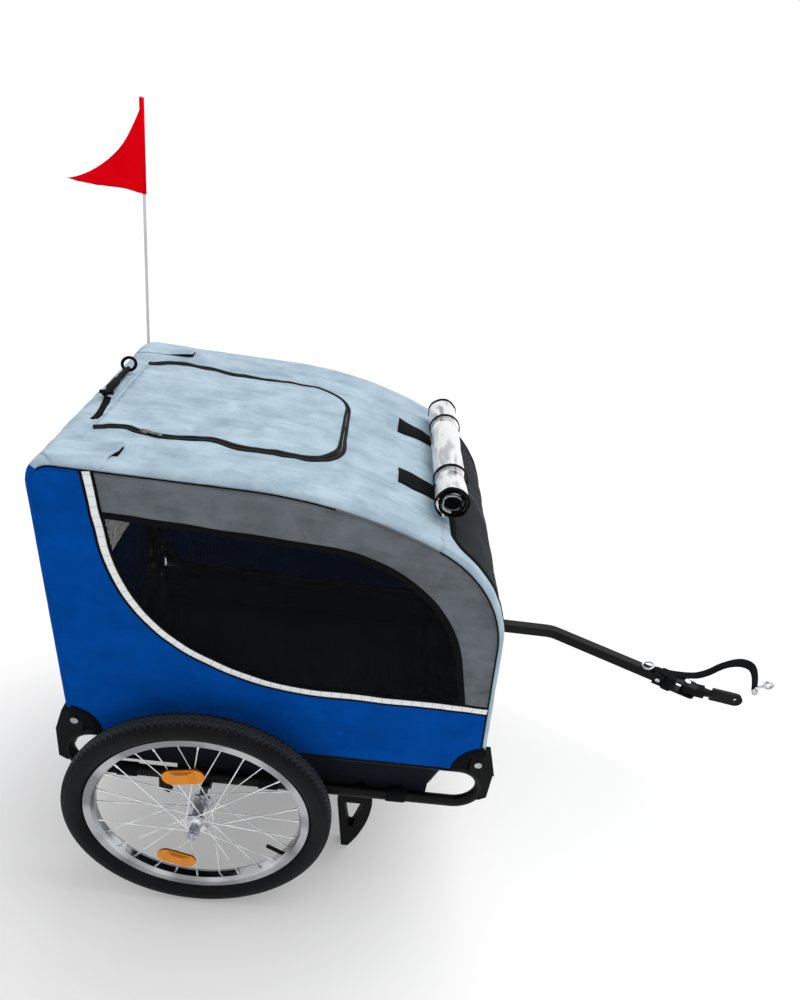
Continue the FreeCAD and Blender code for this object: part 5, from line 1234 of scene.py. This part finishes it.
# cloth from the tub's rim out to the foot of each panel
ledgeLow, ledgeHigh = tub["halfWidth"] - tub["tuck"], tub["ledgeY"]
frontHalf, rearHalf = (windows["footY"][end] - tub["footGap"] for end in ("front", "rear"))
ledges = {"left": (*tub["ledgeX"], ledgeLow, ledgeHigh), "right": (*tub["ledgeX"], -ledgeHigh, -ledgeLow),
          "front": (tub["topX"][1] - tub["tuck"], frontFootX - tub["panelGap"], -frontHalf, frontHalf),
          "rear": (rearFootX + tub["panelGap"], tub["topX"][0] + tub["tuck"], -rearHalf, rearHalf)}
for word, limits in ledges.items():
    clothPanel(f"tub_ledge_{word}", rectangle(*limits), ledgeSurface, navyPolyester, 9.0, 1.4, "chassis")

# the tub's lower hem, which reaches down behind the rail
for side, word in sides:
    def hemSurface(x, z, lift, side=side):
        return at(x, side * (tub["hemY"] + lift), z)

    clothPanel(f"tub_hem_{word}", rectangle(*tub["hemX"], *tub["hemZ"]), hemSurface, navyPolyester, 12.0, 0.8,
               "chassis")

railY, railZ, railR = tub["rail"]
reach = railR + tub["bandGap"]
for k, bandX in enumerate(tub["bandX"]):
    for side, word in sides:
        def bandSurface(u, v, lift, x=bandX, side=side):
            # u runs round the rail from the tub's underside, v along the rail
            angle = u / reach
            return at(x + v, side * (railY - (reach + lift) * math.cos(angle)),
                      railZ - (reach + lift) * math.sin(angle))

        tape(f"tub_band_{k}_{word}", [(0.0, 0.0), (math.radians(tub["bandDeg"]) * reach, 0.0)], bandSurface,
             tub["bandWidth"], 0.9, blackWebbing, "chassis", step=4.0, lift=0.3,
             node="tub_bands" if k == 0 and side > 0 else None)
print("tub made")

# Rolled-up clear rain cover on the brow, its bands and tabs
roll = {"y": (-188.0, 187.0), "radius": 32.5, "stand": 34.2, "pitch": 6.0, "turns": 2.6, "stepDeg": 9.0,
        "startDeg": 200.0, "row": 6.0, "crumple": 2.4, "pinch": 0.1, "pinchRun": 22.0, "ragged": 4.0,
        "bandY": (-105.0, 105.0), "bandWidth": 8.0, "bandShare": 0.92, "tabWidth": 52.0, "tabDeg": 18.2,
        "rim": 9.0, "rimDeg": (12.0, 700.0), "rimInset": 3.0, "coreR": 14.0, "coreInset": 7}
rollX, rollZ = onArc(coverParts[3][1], cover["roofR"] + roll["stand"], cover["browDeg"])
radian = 57.3   # degrees, near enough for a pattern


def rollSurface(u, y, lift):
    # u is the angle round the roll in degrees, from its loose edge inwards
    radius = roll["radius"] - 1.5 - roll["pitch"] * u / 360
    angle = math.radians(u + roll["startDeg"])
    pinch = 1.0
    for bandY in roll["bandY"]:
        pinch -= roll["pinch"] * math.exp(-((y - bandY) / roll["pinchRun"]) ** 2)
    crumple = roll["crumple"] * rumple(u / radian * 30, y * 0.35, 22.0, 5.5)
    radius = radius * pinch + crumple * 0.6 - 1.2
    return at(rollX + (radius + lift) * math.sin(angle), y, rollZ + (radius + lift) * math.cos(angle))


def makeRoll(style):
    right, left = style["y"]
    steps = round(style["turns"] * 360 / style["stepDeg"])
    rows = round((left - right) / style["row"])
    points = []
    spots = []
    for k in range(steps + 1):
        u = k * style["stepDeg"]
        for j in range(rows + 1):
            y = right + (left - right) * j / rows
            ragged = style["ragged"] * noise.noise(Vector((u / 80.0, 0.0, 2.2))) if j in (0, rows) else 0.0
            points.append(rollSurface(u, y + ragged, 0.0))
            spots.append((u / radian * style["radius"], y))
    wide = rows + 1
    piece = newPiece("rain_cover_roll", points, rowFaces(steps + 1, wide, wrap=False), clearPvc)
    setCutMap(piece, spots)
    thicken(piece, 0.8, 0.0)
    settle(piece, "front_hoop", "rain_roll")


makeRoll(roll)
tabS = browS - cover["roofR"] * math.radians(cover["browDeg"] - roll["tabDeg"])
for k, bandY in enumerate(roll["bandY"]):
    def bandRound(u, v, lift, y=bandY):
        angle = math.radians(u)
        radius = roll["radius"] * roll["bandShare"] - 1.0 + lift
        return at(rollX + radius * math.sin(angle), y + v, rollZ + radius * math.cos(angle))

    tape(f"roll_band_{k}", [(0.0, 0.0), (360.0, 0.0)], bandRound, roll["bandWidth"], 1.2, blackWebbing,
         "front_hoop", node="roll_straps" if k == 0 else None, step=10.0)
    tape(f"roll_tab_{k}", [(tabS, bandY), (browS - 4.0, bandY)], wrapSurface, roll["tabWidth"], 1.6,
         blackWebbing, "front_hoop")
# the sheet's black hem rolled up in the middle, as a black rod that fills the roll's hollow and also stands
# in for the shade inside it
coreYs = (roll["y"][0] + roll["coreInset"], 0.0, roll["y"][1] - roll["coreInset"])
wire("roll_core", [at(rollX, y, rollZ) for y in coreYs], roll["coreR"], blackBinding, "front_hoop",
     straight=True)
# black binding sewn round both ends of the sheet
for label, rimY in (("right", roll["y"][0] + roll["rimInset"]), ("left", roll["y"][1] - roll["rimInset"])):
    def rimRound(u, v, lift, y=rimY):
        return rollSurface(u, y + v, lift)

    tape(f"roll_rim_{label}", [(u, 0.0) for u in roll["rimDeg"]], rimRound, roll["rim"], 1.5, blackBinding,
         "front_hoop", step=10.0)
print("rain cover made")

# Short lead on the rear edge of the roof
lead = {"path": [(8.0, -120.0), (8.5, -98.0), (6.0, -72.0), (-1.0, -30.0)], "x": -3.0, "width": 12.0,
        "seat": 0.3, "barY": -28.0, "barHalf": 11.5, "wireR": 3.0, "snapY": 92.0, "snapR": 12.5,
        "snapRise": 7.0, "snapTilt": 52.0, "bodyR": 7.0}


def makeLead(style):
    cornerX = coverParts[1][1][0]
    line = [(roofS(cornerX + x), y) for x, y in style["path"]]
    tape("lead_webbing", line, wrapSurface, style["width"], 2.2, blackWebbing, "front_hoop", node="lead",
         step=4.0)
    seat = cover["roofZ"] + style["seat"]
    x = cornerX + style["x"]
    axisZ = seat + style["bodyR"]
    tilt = math.radians(style["snapTilt"])
    loop = []
    for a in roundSteps:
        out, along = turned(style["snapR"], a)
        loop.append(at(x + along, style["snapY"] + out * math.cos(tilt),
                       axisZ + style["snapRise"] + out * math.sin(tilt)))
    wire("lead_snap", loop, style["wireR"], blackNylon, "front_hoop", closed=True)
    bar = [at(x + d, style["barY"], axisZ - 1.0) for d in (-style["barHalf"], 0.0, style["barHalf"])]
    wire("lead_bar", bar, style["wireR"] + 0.6, blackNylon, "front_hoop")
    # swivel turned about its length: strap eye, neck, barrel and hook root
    start, end = style["barY"] - 10.0, style["snapY"] - style["snapR"]
    profile = [(start, 0.1), (start, 5.0), (start + 8, 5.6), (start + 14, 3.4), (start + 20, 5.0),
               (start + 26, style["bodyR"]), (start + 62, style["bodyR"]), (start + 74, 4.6),
               (start + 84, 5.8), (end + 2, 5.0), (end + 10, 3.6), (end + 10, 0.1)]
    points = []
    for y, radius in profile:
        for a in roundSteps:
            out, up = turned(radius, a)
            points.append(at(x + out, y, axisZ + up))
    settle(newPiece("lead_swivel", points, rowFaces(len(profile), len(roundSteps)), blackNylon), "front_hoop")


makeLead(lead)

# Red pennant on its pole
flag = {"lowZ": 1228.0, "topZ": 1390.0, "tipX": -394.0, "tipZ": 1236.0, "poleR": 3.1, "wave": 11.0,
        "flutter": 5.0, "bow": (0.42, 0.36), "sleeveR": (3.2, 4.4)}
poleLow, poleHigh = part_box("flag_pole")
poleX = ((poleLow[0] + poleHigh[0]) / 2 - axleX) / mm
poleY = (poleLow[1] + poleHigh[1]) / 2 / mm


def flagSurface(x, z, lift):
    reach = (poleX - x) / (poleX - flag["tipX"])
    sway = flag["wave"] * math.sin(2 * math.pi * reach) * smooth(reach * 3)
    flutter = flag["flutter"] * math.sin(reach * 9 + (z - flag["lowZ"]) / 45.0)
    sway += flutter * smooth(reach * 2) * (1 - reach)
    return at(x, poleY + sway + lift, z)


def flagOutline():
    # triangle whose upper edge bows in through a point between the pole and the tip
    x0 = poleX + flag["poleR"] + 1.0
    top, low, tip = (x0, flag["topZ"]), (x0, flag["lowZ"]), (flag["tipX"], flag["tipZ"])
    bowX, bowZ = flag["bow"]
    middle = (x0 - (x0 - tip[0]) * bowX, low[1] + (top[1] - low[1]) * bowZ)
    bend = [2 * middle[i] - (top[i] + tip[i]) / 2 for i in (0, 1)]
    upper = []
    for k in range(25):
        t = k / 24
        a, b, c = (1 - t) ** 2, 2 * t * (1 - t), t * t
        upper.append(tuple(a * top[i] + b * bend[i] + c * tip[i] for i in (0, 1)))
    return [low, top] + upper[1:]


def makeSleeve(style):
    # a short ring turned upright on the pole and drawn out to the pennant's height
    inner, outer = style["sleeveR"]
    short = 10.0
    piece = lathe("flag_sleeve", [(inner, 0.0), (outer, 0.0), (outer, short), (inner, short)], (0, 0, 0),
                  redTaffeta, 20)
    for vertex in piece.data.vertices:
        x, y, z = (vertex.co.x - axleX) / mm, vertex.co.y / mm, vertex.co.z / mm
        vertex.co = at(poleX + x, poleY + z, style["lowZ"] + y / short * (style["topZ"] - style["lowZ"]))
    setCutMap(piece, [((v.co.x + v.co.y) / mm, v.co.z / mm) for v in piece.data.vertices])
    settle(piece, "flag")


clothPanel("flag_pennant", flagOutline(), flagSurface, redTaffeta, 5.0, 0.8, "flag",
           node="flag")
makeSleeve(flag)
print("lead and flag made")

# Floor, light and sky
studio = {"floor": 80.0, "floorColour": "#f4f4f4", "floorGlow": 0.16, "sky": 0.62, "skyColour": "#ffffff",
          "sun": 1.45, "sunAngle": 55.0, "sunFrom": (0.42, 0.40, 1.0)}


def whiteToEye(tree):
    # 1 for what the camera sees directly, in a reflection or through clear plastic
    path = addNode(tree, "LightPath").outputs
    seen = addNode(tree, "Math", {0: path["Is Camera Ray"], 1: path["Is Glossy Ray"]}, operation="MAXIMUM")
    return addNode(tree, "Math", {0: seen, 1: path["Is Transmission Ray"]}, operation="MAXIMUM")


def makeStudio(style):
    # painted floor that keeps the shadow; a little of its white is seen only by the eye
    material, tree = newMaterial("pale_floor")
    base = addNode(tree, "BsdfDiffuse", {"Color": colour(style["floorColour"])})
    glow = addNode(tree, "Emission", {"Color": [style["floorGlow"]] * 3 + [1.0],
                   "Strength": whiteToEye(tree)})
    both = addNode(tree, "AddShader", {0: base, 1: glow})
    addNode(tree, "OutputMaterial", {"Surface": both})
    half = style["floor"]
    corners = [(-half, -half, 0), (half, -half, 0), (half, half, 0), (-half, half, 0)]
    newPiece("floor", corners, [(0, 1, 2, 3)], material)
    world = bpy.data.worlds.new("studio")
    bpy.context.scene.world = world
    world.use_nodes = True
    sky = world.node_tree
    sky.nodes.clear()
    strength = addNode(sky, "MapRange", {"Value": whiteToEye(sky), "To Min": style["sky"], "To Max": 1.0})
    light = addNode(sky, "Background", {"Color": colour(style["skyColour"]), "Strength": strength})
    addNode(sky, "OutputWorld", {"Surface": light})
    lamp = bpy.data.lights.new("key", "SUN")
    lamp.energy = style["sun"]
    lamp.angle = math.radians(style["sunAngle"])
    holder = bpy.data.objects.new("key", lamp)
    holder.rotation_euler = Vector(style["sunFrom"]).to_track_quat("Z", "Y").to_euler()
    bpy.context.scene.collection.objects.link(holder)


makeStudio(studio)
bpy.context.scene.view_settings.view_transform = "Standard"
print("studio made")
